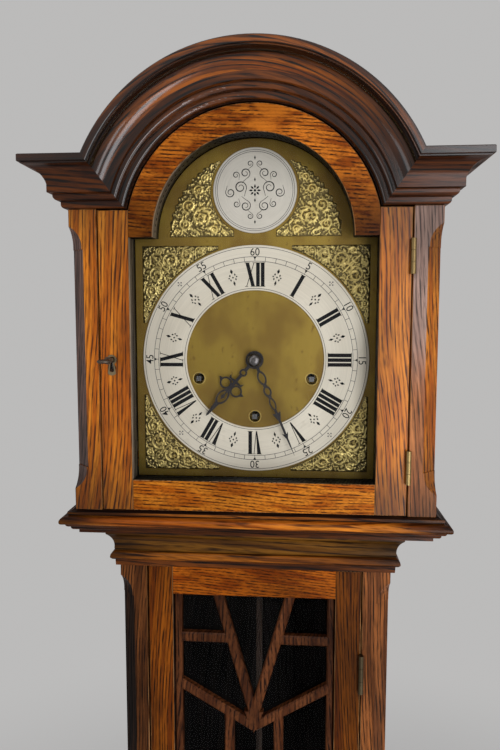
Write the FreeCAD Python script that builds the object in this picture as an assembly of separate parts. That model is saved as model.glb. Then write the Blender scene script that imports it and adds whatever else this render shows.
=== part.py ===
"""Oak longcase clock with an arched hood, a glazed trunk door and a spring-driven three-train movement.

Millimetres. +Z is up, the dial faces -Y, and the origin is on the floor below the middle of the case.
Heights in the hood are given from the centre of the dial, because the dial sets the scale of the case.
"""

import FreeCAD, Part
import math
import os

os.makedirs("parts", exist_ok=True)
Vector = FreeCAD.Vector

# Driving dimensions of the case
OVERALL_HEIGHT = 1850.0
BACK = 126.0
HOOD_FRONT = -90.0
TRUNK_FRONT = HOOD_FRONT + 19.0
HOOD_HALF = 185.0
TRUNK_HALF = 144.0
BASE_HALF = 174.0
BASE_FRONT = TRUNK_FRONT - (BASE_HALF - TRUNK_HALF)
BOARD = 14.0
POST_DEPTH = 30.0
DOOR_THICKNESS = 20.0
EASE = 0.6

# Arch of the hood, above the centre of the dial
ARCH_RISE = 124.5
CORNICE_INNER_RADIUS = 129.5
CORNICE_HEIGHT = 46.5
CORNICE_PROJECTION = 36.0
CORNICE_FOOT = 152.5
DOOR_ARCH_RADIUS = 127.0
SIGHT_RADIUS = 100.0
CORNICE_OUTER_RADIUS = CORNICE_INNER_RADIUS + CORNICE_HEIGHT
DIAL_Z = OVERALL_HEIGHT - ARCH_RISE - CORNICE_OUTER_RADIUS
ARCH_Z = DIAL_Z + ARCH_RISE
CORNICE_Z = DIAL_Z + CORNICE_FOOT
CORNICE_TOP = CORNICE_Z + CORNICE_HEIGHT

# Levels of the case, from the floor
HOOD_REST = DIAL_Z - 182.0
WAIST_FOOT = DIAL_Z - 220.5
HOOD_SIDE_FOOT = DIAL_Z - 148.5
POST_FOOT = DIAL_Z - 155.0
BASE_TOP = 402.0
BASE_MOULDING_TOP = 440.0
SKIRTING_TOP = 82.0

# Hood door
HOOD_DOOR_HALF = 155.2
HOOD_POST_INNER = 156.5
SIGHT_HALF = 124.0
HOOD_DOOR_FOOT = DIAL_Z - 154.2
HOOD_DOOR_SHOULDER = DIAL_Z + 151.3
SIGHT_FOOT = DIAL_Z - 122.5
SIGHT_SHOULDER = DIAL_Z + ARCH_RISE
HINGE_LIFT = 104.0
HINGE_LENGTH = 34.0
HOOD_PIVOT = (155.85, HOOD_FRONT - 3.2)

# Trunk door
TRUNK_POST_INNER = 115.2
TRUNK_DOOR_LEFT = -113.4
TRUNK_DOOR_RIGHT = 113.9
TRUNK_SIGHT_HALF = 87.0
TRUNK_DOOR_FOOT = 476.0
TRUNK_DOOR_HEAD = WAIST_FOOT - 0.8
TRUNK_RAIL = 31.0
TRUNK_PIVOT = (114.55, TRUNK_FRONT - 3.2)
TRUNK_HINGE_LENGTH = 42.0
TRUNK_HINGES = (DIAL_Z - 333.0, TRUNK_DOOR_FOOT + 112.0)
BAR_WIDTH = 10.5
BAR_FRONT = TRUNK_FRONT + 7.0
BAR_BACK = TRUNK_FRONT + 15.0
TRUNK_GLASS_BACK = BAR_BACK + 3.0

# Dial and movement
PLATE_FACE = HOOD_FRONT + 43.0
DIAL_PLATE = 2.0
DIAL_HALF = 127.0
DIAL_ARCH_RADIUS = 102.0
DIAL_ARCH_LIFT = 126.0
RING_OUTER = 120.0
RING_INNER = 73.0
RING_THICKNESS = 1.5
BOSS_LIFT = 175.5
BOSS_RADIUS = 43.5
WINDING_SPREAD = 60.0
WINDING_DROP = 20.5
WINDING_MIDDLE_DROP = 61.0
WINDING_HOLE = 5.8
MOVEMENT_HALF = 92.0
MOVEMENT_HEAD = 84.0
MOVEMENT_FOOT = -102.0
FRONT_PLATE = (-26.0, -23.0)
BACK_PLATE = (30.0, 33.0)
SEAT_THICKNESS = 18.0
RUNNING = 0.05

# Time shown at rest, as angles from twelve, clockwise
MINUTE_ANGLE = 157.0
HOUR_ANGLE = 221.0
MINUTE_LENGTH = 109.5
HOUR_LENGTH = 79.5

# Pendulum
SUSPENSION_LIFT = 62.0
PENDULUM_Y = 48.0
PENDULUM_LENGTH = 632.0
BOB_RADIUS = 52.0
ROD_WIDTH = 7.0

# Lock of the hood door
LOCK_X = -143.2
LOCK_Z = DIAL_Z + 2.0
KEY_REACH = 33.0
KEY_RADIUS = 2.4
BOLT_THROW = 6.0


def save(node, *solids):
    """Writes one node, as a single solid or a group of separate ones."""
    shape = solids[0] if len(solids) == 1 else Part.makeCompound(list(solids))
    shape.exportStep("parts/" + node + ".step")


def box(x0, x1, y0, y1, z0, z1):
    return Part.makeBox(x1 - x0, y1 - y0, z1 - z0, Vector(x0, y0, z0))


def board(x0, x1, y0, y1, z0, z1, ease=EASE):
    """Planed board with its arrises eased."""
    plain = box(x0, x1, y0, y1, z0, z1)
    return plain.makeChamfer(ease, plain.Edges)


def mirrored(solid):
    """The same piece on the other side of the case."""
    return solid.mirror(Vector(0, 0, 0), Vector(1, 0, 0))


def pair(solid):
    return [solid, mirrored(solid)]


def rod_y(x, z, y0, y1, radius):
    """Round rod running fore and aft."""
    return Part.makeCylinder(radius, y1 - y0, Vector(x, y0, z), Vector(0, 1, 0))


def rod_x(y, z, x0, x1, radius):
    """Round rod running across the case."""
    return Part.makeCylinder(radius, x1 - x0, Vector(x0, y, z), Vector(1, 0, 0))


def rod_z(x, y, z0, z1, radius):
    """Upright round rod."""
    return Part.makeCylinder(radius, z1 - z0, Vector(x, y, z0), Vector(0, 0, 1))


def fused(first, *others):
    return first.multiFuse(list(others)).removeSplitter()


def face(place, start, *steps):
    """Flat face. A step is the end of a straight run, or the middle and the end of an arc."""
    edges = []
    here = start
    for step in list(steps) + [start]:
        if isinstance(step[0], tuple):
            middle, end = step
            edges.append(Part.Arc(place(*here), place(*middle), place(*end)).toShape())
        else:
            end = step
            if end != here:
                edges.append(Part.LineSegment(place(*here), place(*end)).toShape())
        here = end
    return Part.Face(Part.Wire(edges))


def upright(y):
    """Puts outline points (x, z) on the upright plane at depth y."""
    return lambda x, z: Vector(x, y, z)


def panel(y0, y1, start, *steps):
    """Board of any outline in the plane of the dial."""
    return face(upright(y0), start, *steps).extrude(Vector(0, y1 - y0, 0))


def break_arch(y0, y1, half, foot, shoulder, radius, centre):
    """Rectangle with a round arch on its shoulders, the outline of the dial and of the hood door."""
    spring = math.sqrt(radius**2 - (shoulder - centre) ** 2)
    return panel(
        y0,
        y1,
        (-half, foot),
        (half, foot),
        (half, shoulder),
        (spring, shoulder),
        ((0, centre + radius), (-spring, shoulder)),
        (-half, shoulder),
    )


def moulding(half, front, back, start, *steps):
    """Front length and two returns of one moulding, mitred at the front corners.

    The profile is in (projection, height) and stands on the faces x = half and y = front.
    """
    reach = 80.0
    along = half + reach
    front_run = face(lambda d, z: Vector(-along, front - d, z), start, *steps)
    front_run = front_run.extrude(Vector(2 * along, 0, 0))
    side_run = face(lambda d, z: Vector(half + d, front - reach, z), start, *steps)
    side_run = side_run.extrude(Vector(0, back - front + reach, 0))
    floor = lambda x, y: Vector(x, y, 0)
    outer, ahead = half + reach, front - reach
    wedge = face(floor, (-half, front), (half, front), (outer, ahead), (-outer, ahead))
    side = face(floor, (half, front), (outer, ahead), (outer, back), (half, back))
    tall = Vector(0, 0, OVERALL_HEIGHT)
    return [front_run.common(wedge.extrude(tall))] + pair(side_run.common(side.extrude(tall)))


def stopped_chamfer(corner_x, corner_y, low, high, size=13.0, stop=20.0, step=1.0):
    """What a stopped chamfer takes off an outer front corner: a flat with a hollow run-out at each end."""
    depth = size / math.sqrt(2)
    bend = (stop**2 + depth**2) / (2 * depth)
    out = 14.0
    half_angle = math.asin(stop / bend) / 2
    middle_rise = bend * math.sin(half_angle)
    middle_depth = depth - bend * (1 - math.cos(half_angle))
    ledge = 3.0
    cut = face(
        lambda n, z: Vector(n, 0, z),
        (out, low),
        (0, low),
        ((-middle_depth, low + stop - middle_rise), (-depth, low + stop)),
        (-depth, low + stop + ledge),
        (-depth - step, low + stop + ledge),
        (-depth - step, high - stop - ledge),
        (-depth, high - stop - ledge),
        (-depth, high - stop),
        ((-middle_depth, high - stop + middle_rise), (0, high)),
        (out, high),
    ).extrude(Vector(0, 80, 0))
    cut.translate(Vector(0, -40, 0))
    cut.rotate(Vector(0, 0, 0), Vector(0, 0, 1), -45)
    cut.translate(Vector(corner_x, corner_y, 0))
    return cut


def polar(x, z, radius, degrees):
    """Point at an angle from +X towards +Z, seen from the front."""
    return (x + radius * math.cos(math.radians(degrees)), z + radius * math.sin(math.radians(degrees)))


def wheel(x, z, y0, y1, teeth, module, points_at):
    """Toothed wheel on a fore-and-aft axis, with the middle of a tooth at the angle points_at."""
    radius = teeth * module / 2
    root, tip = radius - 1.2 * module, radius + 0.8 * module
    pitch = 360.0 / teeth
    corners = []
    for tooth in range(teeth):
        middle = points_at + tooth * pitch
        for reach, turn in ((root, -0.27), (tip, -0.10), (tip, 0.10), (root, 0.27)):
            corners.append(polar(x, z, reach, middle + turn * pitch))
    return panel(y0, y1, *corners)


def crossed_out(rim, x, z, y0, y1, hub, inner):
    """A wheel with its web cut away to four arms."""
    window = 66.0
    for quarter in range(4):
        a = 45.0 + 90 * quarter
        low, high = a - window / 2, a + window / 2
        hole = panel(
            y0 - 1,
            y1 + 1,
            polar(x, z, hub, low),
            polar(x, z, inner, low + 6),
            (polar(x, z, inner, a), polar(x, z, inner, high - 6)),
            polar(x, z, hub, high),
            (polar(x, z, hub, a), polar(x, z, hub, low)),
        )
        rim = rim.cut(hole)
    return rim


# Base: framed front with a fielded panel, board sides, floor and skirting
BASE_FACE = BASE_FRONT + 22.0
BASE_STILE = 42.0
BASE_PANEL_FOOT = 128.0
BASE_PANEL_HEAD = 354.0
BASE_FOOT = 8.0

skirting = moulding(
    BASE_HALF,
    BASE_FRONT,
    BACK,
    (0, 0),
    (10, 0),
    (10, SKIRTING_TOP - 14),
    ((6.2, SKIRTING_TOP - 10.5), (5, SKIRTING_TOP - 6)),
    ((3.2, SKIRTING_TOP - 2), (0, SKIRTING_TOP)),
)
save("base_skirting", *skirting)

base_stile = board(BASE_HALF - BASE_STILE, BASE_HALF, BASE_FRONT, BASE_FACE, BASE_FOOT, BASE_TOP)
rail_half = BASE_HALF - BASE_STILE
base_rails = [
    board(-rail_half, rail_half, BASE_FRONT, BASE_FACE, BASE_FOOT, BASE_PANEL_FOOT),
    board(-rail_half, rail_half, BASE_FRONT, BASE_FACE, BASE_PANEL_HEAD, BASE_TOP),
]
save("base_frame", *pair(base_stile), *base_rails)

FIELD_BEVEL = 26.0
FIELD_RISE = 5.5


def rectangle(y, half, low, high):
    corners = [Vector(-half, y, low), Vector(half, y, low), Vector(half, y, high), Vector(-half, y, high)]
    return Part.makePolygon(corners + corners[:1])


panel_face = BASE_FRONT + 5.0
bevel = Part.makeLoft(
    [
        rectangle(panel_face + FIELD_RISE, rail_half, BASE_PANEL_FOOT, BASE_PANEL_HEAD),
        rectangle(
            panel_face,
            rail_half - FIELD_BEVEL,
            BASE_PANEL_FOOT + FIELD_BEVEL,
            BASE_PANEL_HEAD - FIELD_BEVEL,
        ),
    ],
    True,
    True,
)
slab = box(-rail_half, rail_half, panel_face + FIELD_RISE, panel_face + 11, BASE_PANEL_FOOT, BASE_PANEL_HEAD)
save("base_panel", fused(slab, bevel))

save("base_sides", *pair(board(BASE_HALF - BOARD, BASE_HALF, BASE_FACE, BACK, BASE_FOOT, BASE_TOP)))
save("base_floor", board(-BASE_HALF + BOARD, BASE_HALF - BOARD, BASE_FACE, BACK - 12.5, 14, 28))

base_moulding = moulding(
    TRUNK_HALF,
    TRUNK_FRONT,
    BACK,
    (0, BASE_TOP),
    (28, BASE_TOP),
    ((31.5, BASE_TOP + 4), (28, BASE_TOP + 8)),
    (25, BASE_TOP + 8),
    (25, BASE_TOP + 11),
    ((10, BASE_TOP + 18), (5, BASE_TOP + 33)),
    (3.5, BASE_TOP + 33),
    (3.5, BASE_MOULDING_TOP),
    (0, BASE_MOULDING_TOP),
)
save("base_moulding", *base_moulding)

# Trunk: corner posts with stopped chamfers, rails, sides and the waist moulding that carries the hood
TRUNK_POST_BACK = TRUNK_FRONT + POST_DEPTH
CHAMFER_FOOT = BASE_MOULDING_TOP + 22.0
CHAMFER_HEAD = WAIST_FOOT - 12.0

post = board(TRUNK_POST_INNER, TRUNK_HALF, TRUNK_FRONT, TRUNK_POST_BACK, BASE_TOP, HOOD_REST)
post = post.cut(stopped_chamfer(TRUNK_HALF, TRUNK_FRONT, CHAMFER_FOOT, CHAMFER_HEAD))
trunk_posts = pair(post)
for hinge_z in TRUNK_HINGES:
    recess = box(
        TRUNK_POST_INNER - 1,
        TRUNK_POST_INNER + 1,
        TRUNK_FRONT - 1,
        TRUNK_FRONT + 14,
        hinge_z - TRUNK_HINGE_LENGTH / 2,
        hinge_z + TRUNK_HINGE_LENGTH / 2,
    )
    trunk_posts[0] = trunk_posts[0].cut(recess)
TRUNK_RAIL_BACK = TRUNK_FRONT + DOOR_THICKNESS
trunk_rails = [
    board(-TRUNK_POST_INNER, TRUNK_POST_INNER, TRUNK_FRONT, TRUNK_RAIL_BACK, low, high)
    for low, high in ((BASE_TOP, TRUNK_DOOR_FOOT - 1.2), (WAIST_FOOT + 0.4, HOOD_REST))
]
save("trunk_frame", *trunk_posts, *trunk_rails)

SEAT_TOP = DIAL_Z + MOVEMENT_FOOT
cheek = board(TRUNK_HALF - BOARD, TRUNK_HALF, TRUNK_POST_BACK, BACK - 12, 330, SEAT_TOP - SEAT_THICKNESS)
save("trunk_sides", *pair(cheek))
save("seat_board", board(-TRUNK_HALF, TRUNK_HALF, -38, 38, SEAT_TOP - SEAT_THICKNESS, SEAT_TOP))

waist_moulding = moulding(
    TRUNK_HALF,
    TRUNK_FRONT,
    BACK,
    (0, HOOD_REST),
    (12, HOOD_REST),
    (12, HOOD_REST - 1.5),
    ((6.4, HOOD_REST - 8.5), (4.9, HOOD_REST - 19)),
    (4.2, HOOD_REST - 21.5),
    ((8.0, HOOD_REST - 24.5), (8.6, HOOD_REST - 28.5)),
    (6.6, HOOD_REST - 30.5),
    (4.2, HOOD_REST - 31.5),
    (3.8, WAIST_FOOT + 0.6),
    (0, WAIST_FOOT + 0.6),
)
save("waist_moulding", *waist_moulding)

# Back board: a tall board from the floor to the arch, widened at the base and at the hood by glued ears
HOOD_INSIDE = HOOD_HALF - BOARD
ROOF_THICKNESS = 8.0
ROOF_INNER_RADIUS = CORNICE_OUTER_RADIUS - ROOF_THICKNESS
ROOF_UNDER = CORNICE_TOP - ROOF_THICKNESS
BACK_INNER = BACK - 12.0
back_half = HOOD_INSIDE - 1.0
back_radius = ROOF_INNER_RADIUS - 1.0
back_shoulder = ROOF_UNDER - 1.0
back_spring = math.sqrt(back_radius**2 - (back_shoulder - ARCH_Z) ** 2)
base_inside = BASE_HALF - BOARD - 0.5
ear_foot = HOOD_SIDE_FOOT + 1.5


def back_arch(x):
    """Point of the back board's arch at a distance x from the middle."""
    return (x, ARCH_Z + math.sqrt(back_radius**2 - x**2))


tall_back = panel(
    BACK_INNER,
    BACK,
    (-TRUNK_HALF, BASE_FOOT),
    (TRUNK_HALF, BASE_FOOT),
    back_arch(TRUNK_HALF),
    (back_arch(0), back_arch(-TRUNK_HALF)),
)
hood_ear = panel(
    BACK_INNER,
    BACK,
    (TRUNK_HALF, ear_foot),
    (back_half, ear_foot),
    (back_half, back_shoulder),
    (back_spring, back_shoulder),
    (back_arch((back_spring + TRUNK_HALF) / 2), back_arch(TRUNK_HALF)),
)
base_ear = box(TRUNK_HALF, base_inside, BACK_INNER, BACK, BASE_FOOT, BASE_TOP)
save("back_board", tall_back, *pair(hood_ear), *pair(base_ear))


# Butt hinges: knuckles stand proud in the gap, and the leaves are let into the door and the post
KNUCKLE = 2.8
HINGE_PIN = 1.2
LEAF = 1.0
LEAF_REACH = 13.6
KNUCKLE_GAP = 0.4


def hinge_leaf(pivot, front, edge, side, centre, length, knuckle_spans):
    """One leaf: a plate on the edge face, with a tab and a knuckle for each span of height."""
    inner, outer = sorted((edge, edge + side * LEAF))
    leaf = box(inner, outer, front + 0.4, front + LEAF_REACH, centre - length / 2, centre + length / 2)
    for low, high in knuckle_spans:
        tab = box(inner, outer, pivot[1], front + 0.4, centre + low, centre + high)
        knuckle = rod_z(pivot[0], pivot[1], centre + low, centre + high, KNUCKLE)
        leaf = fused(leaf, tab, knuckle)
    return leaf


def hinge(pivot, front, door_edge, post_edge, centre, length):
    """The leaf on the post, with its pin, and the leaf on the door."""
    third = length / 6
    ends = ((-length / 2, -third - KNUCKLE_GAP), (third + KNUCKLE_GAP, length / 2))
    fixed = hinge_leaf(pivot, front, post_edge, 1, centre, length, ends)
    pin = rod_z(pivot[0], pivot[1], centre - length / 2, centre + length / 2, HINGE_PIN)
    fixed = fused(fixed, pin)
    moving = hinge_leaf(pivot, front, door_edge, -1, centre, length, ((-third, third),))
    bore = rod_z(pivot[0], pivot[1], centre - length, centre + length, HINGE_PIN + RUNNING)
    return fixed, moving.cut(bore)


def hinge_recess(front, edge, side, centre, length):
    """Shallow recess that lets a leaf into an edge face."""
    inner, outer = sorted((edge, edge + side * LEAF))
    low, high = centre - length / 2, centre + length / 2
    return box(inner - 0.01, outer + 0.01, front - 1, front + LEAF_REACH, low, high)


trunk_hinges = [
    hinge(TRUNK_PIVOT, TRUNK_FRONT, TRUNK_DOOR_RIGHT, TRUNK_POST_INNER, z, TRUNK_HINGE_LENGTH)
    for z in TRUNK_HINGES
]
save("trunk_hinge_post_leaves", *[h[0] for h in trunk_hinges])
save("trunk_hinge_door_leaves", *[h[1] for h in trunk_hinges])

# Trunk door: stiles, rails, fan of glazing bars and glass, with a turn catch on the left stile
CATCH_X = -100.5
CATCH_Z = 905.0
CATCH_SPINDLE = 3.0



def trunk_stile(x0, x1):
    return board(x0, x1, TRUNK_FRONT, TRUNK_RAIL_BACK, TRUNK_DOOR_FOOT, TRUNK_DOOR_HEAD)


left_stile = trunk_stile(TRUNK_DOOR_LEFT, -TRUNK_SIGHT_HALF)
left_stile = left_stile.cut(
    rod_y(CATCH_X, CATCH_Z, TRUNK_FRONT - 5, TRUNK_FRONT + 40, CATCH_SPINDLE + RUNNING)
)
right_stile = trunk_stile(TRUNK_SIGHT_HALF, TRUNK_DOOR_RIGHT)
for z in TRUNK_HINGES:
    right_stile = right_stile.cut(hinge_recess(TRUNK_FRONT, TRUNK_DOOR_RIGHT, -1, z, TRUNK_HINGE_LENGTH))
save("trunk_door_stiles", left_stile, right_stile)

TRUNK_SIGHT_FOOT = TRUNK_DOOR_FOOT + TRUNK_RAIL
TRUNK_SIGHT_HEAD = TRUNK_DOOR_HEAD - TRUNK_RAIL
trunk_door_rails = [
    board(-TRUNK_SIGHT_HALF, TRUNK_SIGHT_HALF, TRUNK_FRONT, TRUNK_RAIL_BACK, low, high)
    for low, high in ((TRUNK_SIGHT_HEAD, TRUNK_DOOR_HEAD), (TRUNK_DOOR_FOOT, TRUNK_SIGHT_FOOT))
]
save("trunk_door_rails", *trunk_door_rails)


def bar(x0, z0, x1, z1, width):
    """Glazing bar between two points of its middle line, with its front arrises taken off."""
    length = math.hypot(x1 - x0, z1 - z0)
    ux, uz = (x1 - x0) / length, (z1 - z0) / length
    half = width / 2
    corners = []
    for end_x, end_z, side in ((x0, z0, -1), (x1, z1, -1), (x1, z1, 1), (x0, z0, 1)):
        corners.append((end_x - uz * side * half, end_z + ux * side * half))
    solid = panel(BAR_FRONT, BAR_BACK, *corners)
    along = [
        e
        for e in solid.Edges
        if abs(e.BoundBox.YMax - BAR_FRONT) < 0.01 and e.Length > length - 0.01
    ]
    return solid.makeChamfer(1.5, along)


FAN_FOOT = DIAL_Z - 391.0
FAN_TOP_SPREAD = 40.0
CROSS_Z = DIAL_Z - 304.0
DIAGONAL_SIDE_Z = DIAL_Z - 356.0
DIAGONAL_FOOT = DIAL_Z - 405.0
UPRIGHT_X = 27.0
SIDE_BAR = 8.0
side_x = TRUNK_SIGHT_HALF - SIDE_BAR / 2
fan_lean = FAN_TOP_SPREAD / (TRUNK_SIGHT_HEAD - FAN_FOOT)
cross_inner = fan_lean * (CROSS_Z - FAN_FOOT)
diagonal_rise = (DIAGONAL_SIDE_Z - DIAGONAL_FOOT) / side_x
half_lattice = [
    bar(side_x, TRUNK_SIGHT_FOOT, side_x, TRUNK_SIGHT_HEAD, SIDE_BAR),
    bar(0, FAN_FOOT, FAN_TOP_SPREAD + fan_lean * 4, TRUNK_SIGHT_HEAD + 4, BAR_WIDTH),
    bar(cross_inner, CROSS_Z, side_x, CROSS_Z, BAR_WIDTH),
    bar(0, DIAGONAL_FOOT, side_x, DIAGONAL_SIDE_Z, BAR_WIDTH),
    bar(UPRIGHT_X, TRUNK_SIGHT_FOOT, UPRIGHT_X, DIAGONAL_FOOT + diagonal_rise * UPRIGHT_X, BAR_WIDTH),
]
hub_block = panel(
    BAR_FRONT,
    BAR_BACK,
    (-BAR_WIDTH, FAN_FOOT + 4),
    (0, DIAGONAL_FOOT - BAR_WIDTH * 0.62),
    (BAR_WIDTH, FAN_FOOT + 4),
)
lattice = fused(hub_block, *half_lattice, *[mirrored(b) for b in half_lattice])
sight_space = box(
    -TRUNK_SIGHT_HALF, TRUNK_SIGHT_HALF, BAR_FRONT - 1, BAR_BACK + 1, TRUNK_SIGHT_FOOT, TRUNK_SIGHT_HEAD
)
save("trunk_glazing_bars", lattice.common(sight_space))
save(
    "trunk_door_glass",
    box(-TRUNK_SIGHT_HALF, TRUNK_SIGHT_HALF, BAR_BACK, TRUNK_GLASS_BACK, TRUNK_SIGHT_FOOT, TRUNK_SIGHT_HEAD),
)

catch_knob = face(
    lambda r, y: Vector(CATCH_X + r, y, CATCH_Z),
    (0, TRUNK_FRONT - 20),
    ((6.2, TRUNK_FRONT - 18), (8.0, TRUNK_FRONT - 12.5)),
    ((6.0, TRUNK_FRONT - 7.5), (3.6, TRUNK_FRONT - 5)),
    (3.6, TRUNK_FRONT - 2.2),
    (7.5, TRUNK_FRONT - 2.2),
    (7.5, TRUNK_FRONT - 0.3),
    (0, TRUNK_FRONT - 0.3),
).revolve(Vector(CATCH_X, 0, CATCH_Z), Vector(0, 1, 0), 360)
CATCH_CAM = TRUNK_POST_BACK + 1.0
catch_spindle = rod_y(CATCH_X, CATCH_Z, TRUNK_FRONT - 3, CATCH_CAM + 3, CATCH_SPINDLE)
catch_cam = board(CATCH_X - 5, CATCH_X + 5, CATCH_CAM, CATCH_CAM + 3, CATCH_Z - 6, CATCH_Z + 22)
save("trunk_door_catch", fused(catch_knob, catch_spindle, catch_cam))

# Hood: base moulding, posts, sides, fascia behind the cornice, cornice and roof
NOSING_SIDE = 15.5
NOSING_FRONT = 9.5
HOOD_BASE_INNER = 148.0
HOOD_BASE_LEDGE = DIAL_Z - 157.0
hood_base_depth = HOOD_HALF + NOSING_SIDE - HOOD_BASE_INNER
hood_base_front = HOOD_FRONT - NOSING_FRONT + hood_base_depth
nose = DIAL_Z - 166.8
hood_base = moulding(
    HOOD_BASE_INNER,
    hood_base_front,
    BACK,
    (0, HOOD_REST),
    (36.2, HOOD_REST),
    (36.2, HOOD_REST + 4.6),
    (41.0, HOOD_REST + 4.8),
    ((42.4, HOOD_REST + 6.2), (42.8, HOOD_REST + 8.2)),
    (45.0, HOOD_REST + 8.8),
    ((46.6, HOOD_REST + 10), (47.4, HOOD_REST + 12)),
    (50.6, HOOD_REST + 12.6),
    ((52.2, nose - 1.2), (hood_base_depth, nose)),
    (hood_base_depth - 0.2, nose + 1.8),
    ((50.4, nose + 4.2), (46.2, nose + 5.5)),
    (44.6, nose + 5.9),
    (44.6, HOOD_BASE_LEDGE - 2.9),
    (45.4, HOOD_BASE_LEDGE - 2.6),
    (45.4, HOOD_BASE_LEDGE - 0.4),
    (45.0, HOOD_BASE_LEDGE),
    (43.0, HOOD_BASE_LEDGE),
    ((39.2, HOOD_BASE_LEDGE + 2.6), (37, HOOD_SIDE_FOOT)),
    (0, HOOD_SIDE_FOOT),
)
post_notch = box(-HOOD_HALF, HOOD_HALF, HOOD_FRONT, HOOD_FRONT + POST_DEPTH, POST_FOOT, HOOD_SIDE_FOOT + 5)
mask_notch = box(
    -HOOD_POST_INNER, HOOD_POST_INNER, HOOD_FRONT, hood_base_front + 1, POST_FOOT, HOOD_SIDE_FOOT + 5
)
hood_base = [piece.cut(post_notch).cut(mask_notch) for piece in hood_base]
save("hood_base_moulding", *hood_base)

hood_post_back = HOOD_FRONT + POST_DEPTH
hood_post = board(HOOD_POST_INNER, HOOD_HALF, HOOD_FRONT, hood_post_back, POST_FOOT, CORNICE_Z)
hood_post = hood_post.cut(stopped_chamfer(HOOD_HALF, HOOD_FRONT, DIAL_Z - 133.0, DIAL_Z + 136.0))
hood_posts = pair(hood_post)
for z in (DIAL_Z - HINGE_LIFT, DIAL_Z + HINGE_LIFT):
    hood_posts[0] = hood_posts[0].cut(hinge_recess(HOOD_FRONT, HOOD_POST_INNER, 1, z, HINGE_LENGTH))
BOLT_HALF = 7.0
BOLT_FRONT = HOOD_FRONT + 8.0
BOLT_BACK = HOOD_FRONT + 12.0
mortise = box(
    -HOOD_POST_INNER - 9,
    -HOOD_POST_INNER + 1,
    BOLT_FRONT - 0.5,
    BOLT_BACK + 0.5,
    LOCK_Z - BOLT_HALF - 0.5,
    LOCK_Z + BOLT_HALF + 0.5,
)
hood_posts[1] = hood_posts[1].cut(mortise)
save("hood_posts", *hood_posts)

save("hood_sides", *pair(board(HOOD_INSIDE, HOOD_HALF, hood_post_back, BACK, HOOD_SIDE_FOOT, ROOF_UNDER)))

fascia_back = HOOD_FRONT + 18.0
opening_radius = DOOR_ARCH_RADIUS + 1.5
opening_spring = math.sqrt(opening_radius**2 - (CORNICE_Z - ARCH_Z) ** 2)
roof_spring = math.sqrt(CORNICE_OUTER_RADIUS**2 - (CORNICE_TOP - ARCH_Z) ** 2)
fascia = panel(
    HOOD_FRONT,
    fascia_back,
    (-HOOD_HALF, CORNICE_Z),
    (-opening_spring, CORNICE_Z),
    ((0, ARCH_Z + opening_radius), (opening_spring, CORNICE_Z)),
    (HOOD_HALF, CORNICE_Z),
    (HOOD_HALF, CORNICE_TOP),
    (roof_spring, CORNICE_TOP),
    ((0, ARCH_Z + CORNICE_OUTER_RADIUS), (-roof_spring, CORNICE_TOP)),
    (-HOOD_HALF, CORNICE_TOP),
)
save("hood_fascia", fascia)

inner_spring = math.sqrt(ROOF_INNER_RADIUS**2 - (ROOF_UNDER - ARCH_Z) ** 2)
roof = panel(
    fascia_back,
    BACK,
    (-HOOD_HALF, ROOF_UNDER),
    (-inner_spring, ROOF_UNDER),
    ((0, ARCH_Z + ROOF_INNER_RADIUS), (inner_spring, ROOF_UNDER)),
    (HOOD_HALF, ROOF_UNDER),
    (HOOD_HALF, CORNICE_TOP),
    (roof_spring, CORNICE_TOP),
    ((0, ARCH_Z + CORNICE_OUTER_RADIUS), (-roof_spring, CORNICE_TOP)),
    (-HOOD_HALF, CORNICE_TOP),
)
save("hood_roof", roof)

# Cornice profile, from the foot up: ovolo, bead, fillet, cove and a flat lip
CORNICE_PROFILE = (
    (0, 0),
    (1.6, 0),
    ((4.2, 1.2), (5.2, 4.0)),
    (5.2, 6.4),
    (6.6, 7.2),
    ((9.8, 8.4), (11.2, 11.4)),
    (11.2, 12.8),
    (15.4, 14.2),
    (15.4, 22.0),
    ((19.4, 30.4), (32.6, 37.8)),
    (33.6, 38.2),
    (33.6, 39.4),
    (CORNICE_PROJECTION - 0.5, 39.4),
    (CORNICE_PROJECTION, 40.0),
    (CORNICE_PROJECTION, CORNICE_HEIGHT - 0.8),
    (CORNICE_PROJECTION - 0.8, CORNICE_HEIGHT),
    (0, CORNICE_HEIGHT),
)


def raised(profile, lift):
    """The profile with its heights counted from lift."""
    moved = []
    for step in profile:
        if isinstance(step[0], tuple):
            moved.append(tuple((d, h + lift) for d, h in step))
        else:
            moved.append((step[0], step[1] + lift))
    return moved


arch_profile = face(
    lambda d, r: Vector(r, HOOD_FRONT - d, ARCH_Z), *raised(CORNICE_PROFILE, CORNICE_INNER_RADIUS)
)
arch_ring = arch_profile.revolve(Vector(0, 0, ARCH_Z), Vector(0, -1, 0), 180)


def mitre_point(x):
    """Where the arched and the level cornice have the same height, at a distance x from the middle."""
    a = CORNICE_INNER_RADIUS - (CORNICE_Z - ARCH_Z)
    return (x, ARCH_Z + (x**2 - a**2) / (2 * a))


mitre_low, mitre_high = 120.0, 166.0
mitre_middle = (mitre_low + mitre_high) / 2
to_left = lambda p: (-p[0], p[1])
above = OVERALL_HEIGHT + 50
arch_space = panel(
    HOOD_FRONT - 60,
    HOOD_FRONT + 1,
    mitre_point(mitre_low),
    (mitre_point(mitre_middle), mitre_point(mitre_high)),
    (mitre_high, above),
    (-mitre_high, above),
    to_left(mitre_point(mitre_high)),
    (to_left(mitre_point(mitre_middle)), to_left(mitre_point(mitre_low))),
)
save("cornice_arch", arch_ring.common(arch_space))

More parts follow.
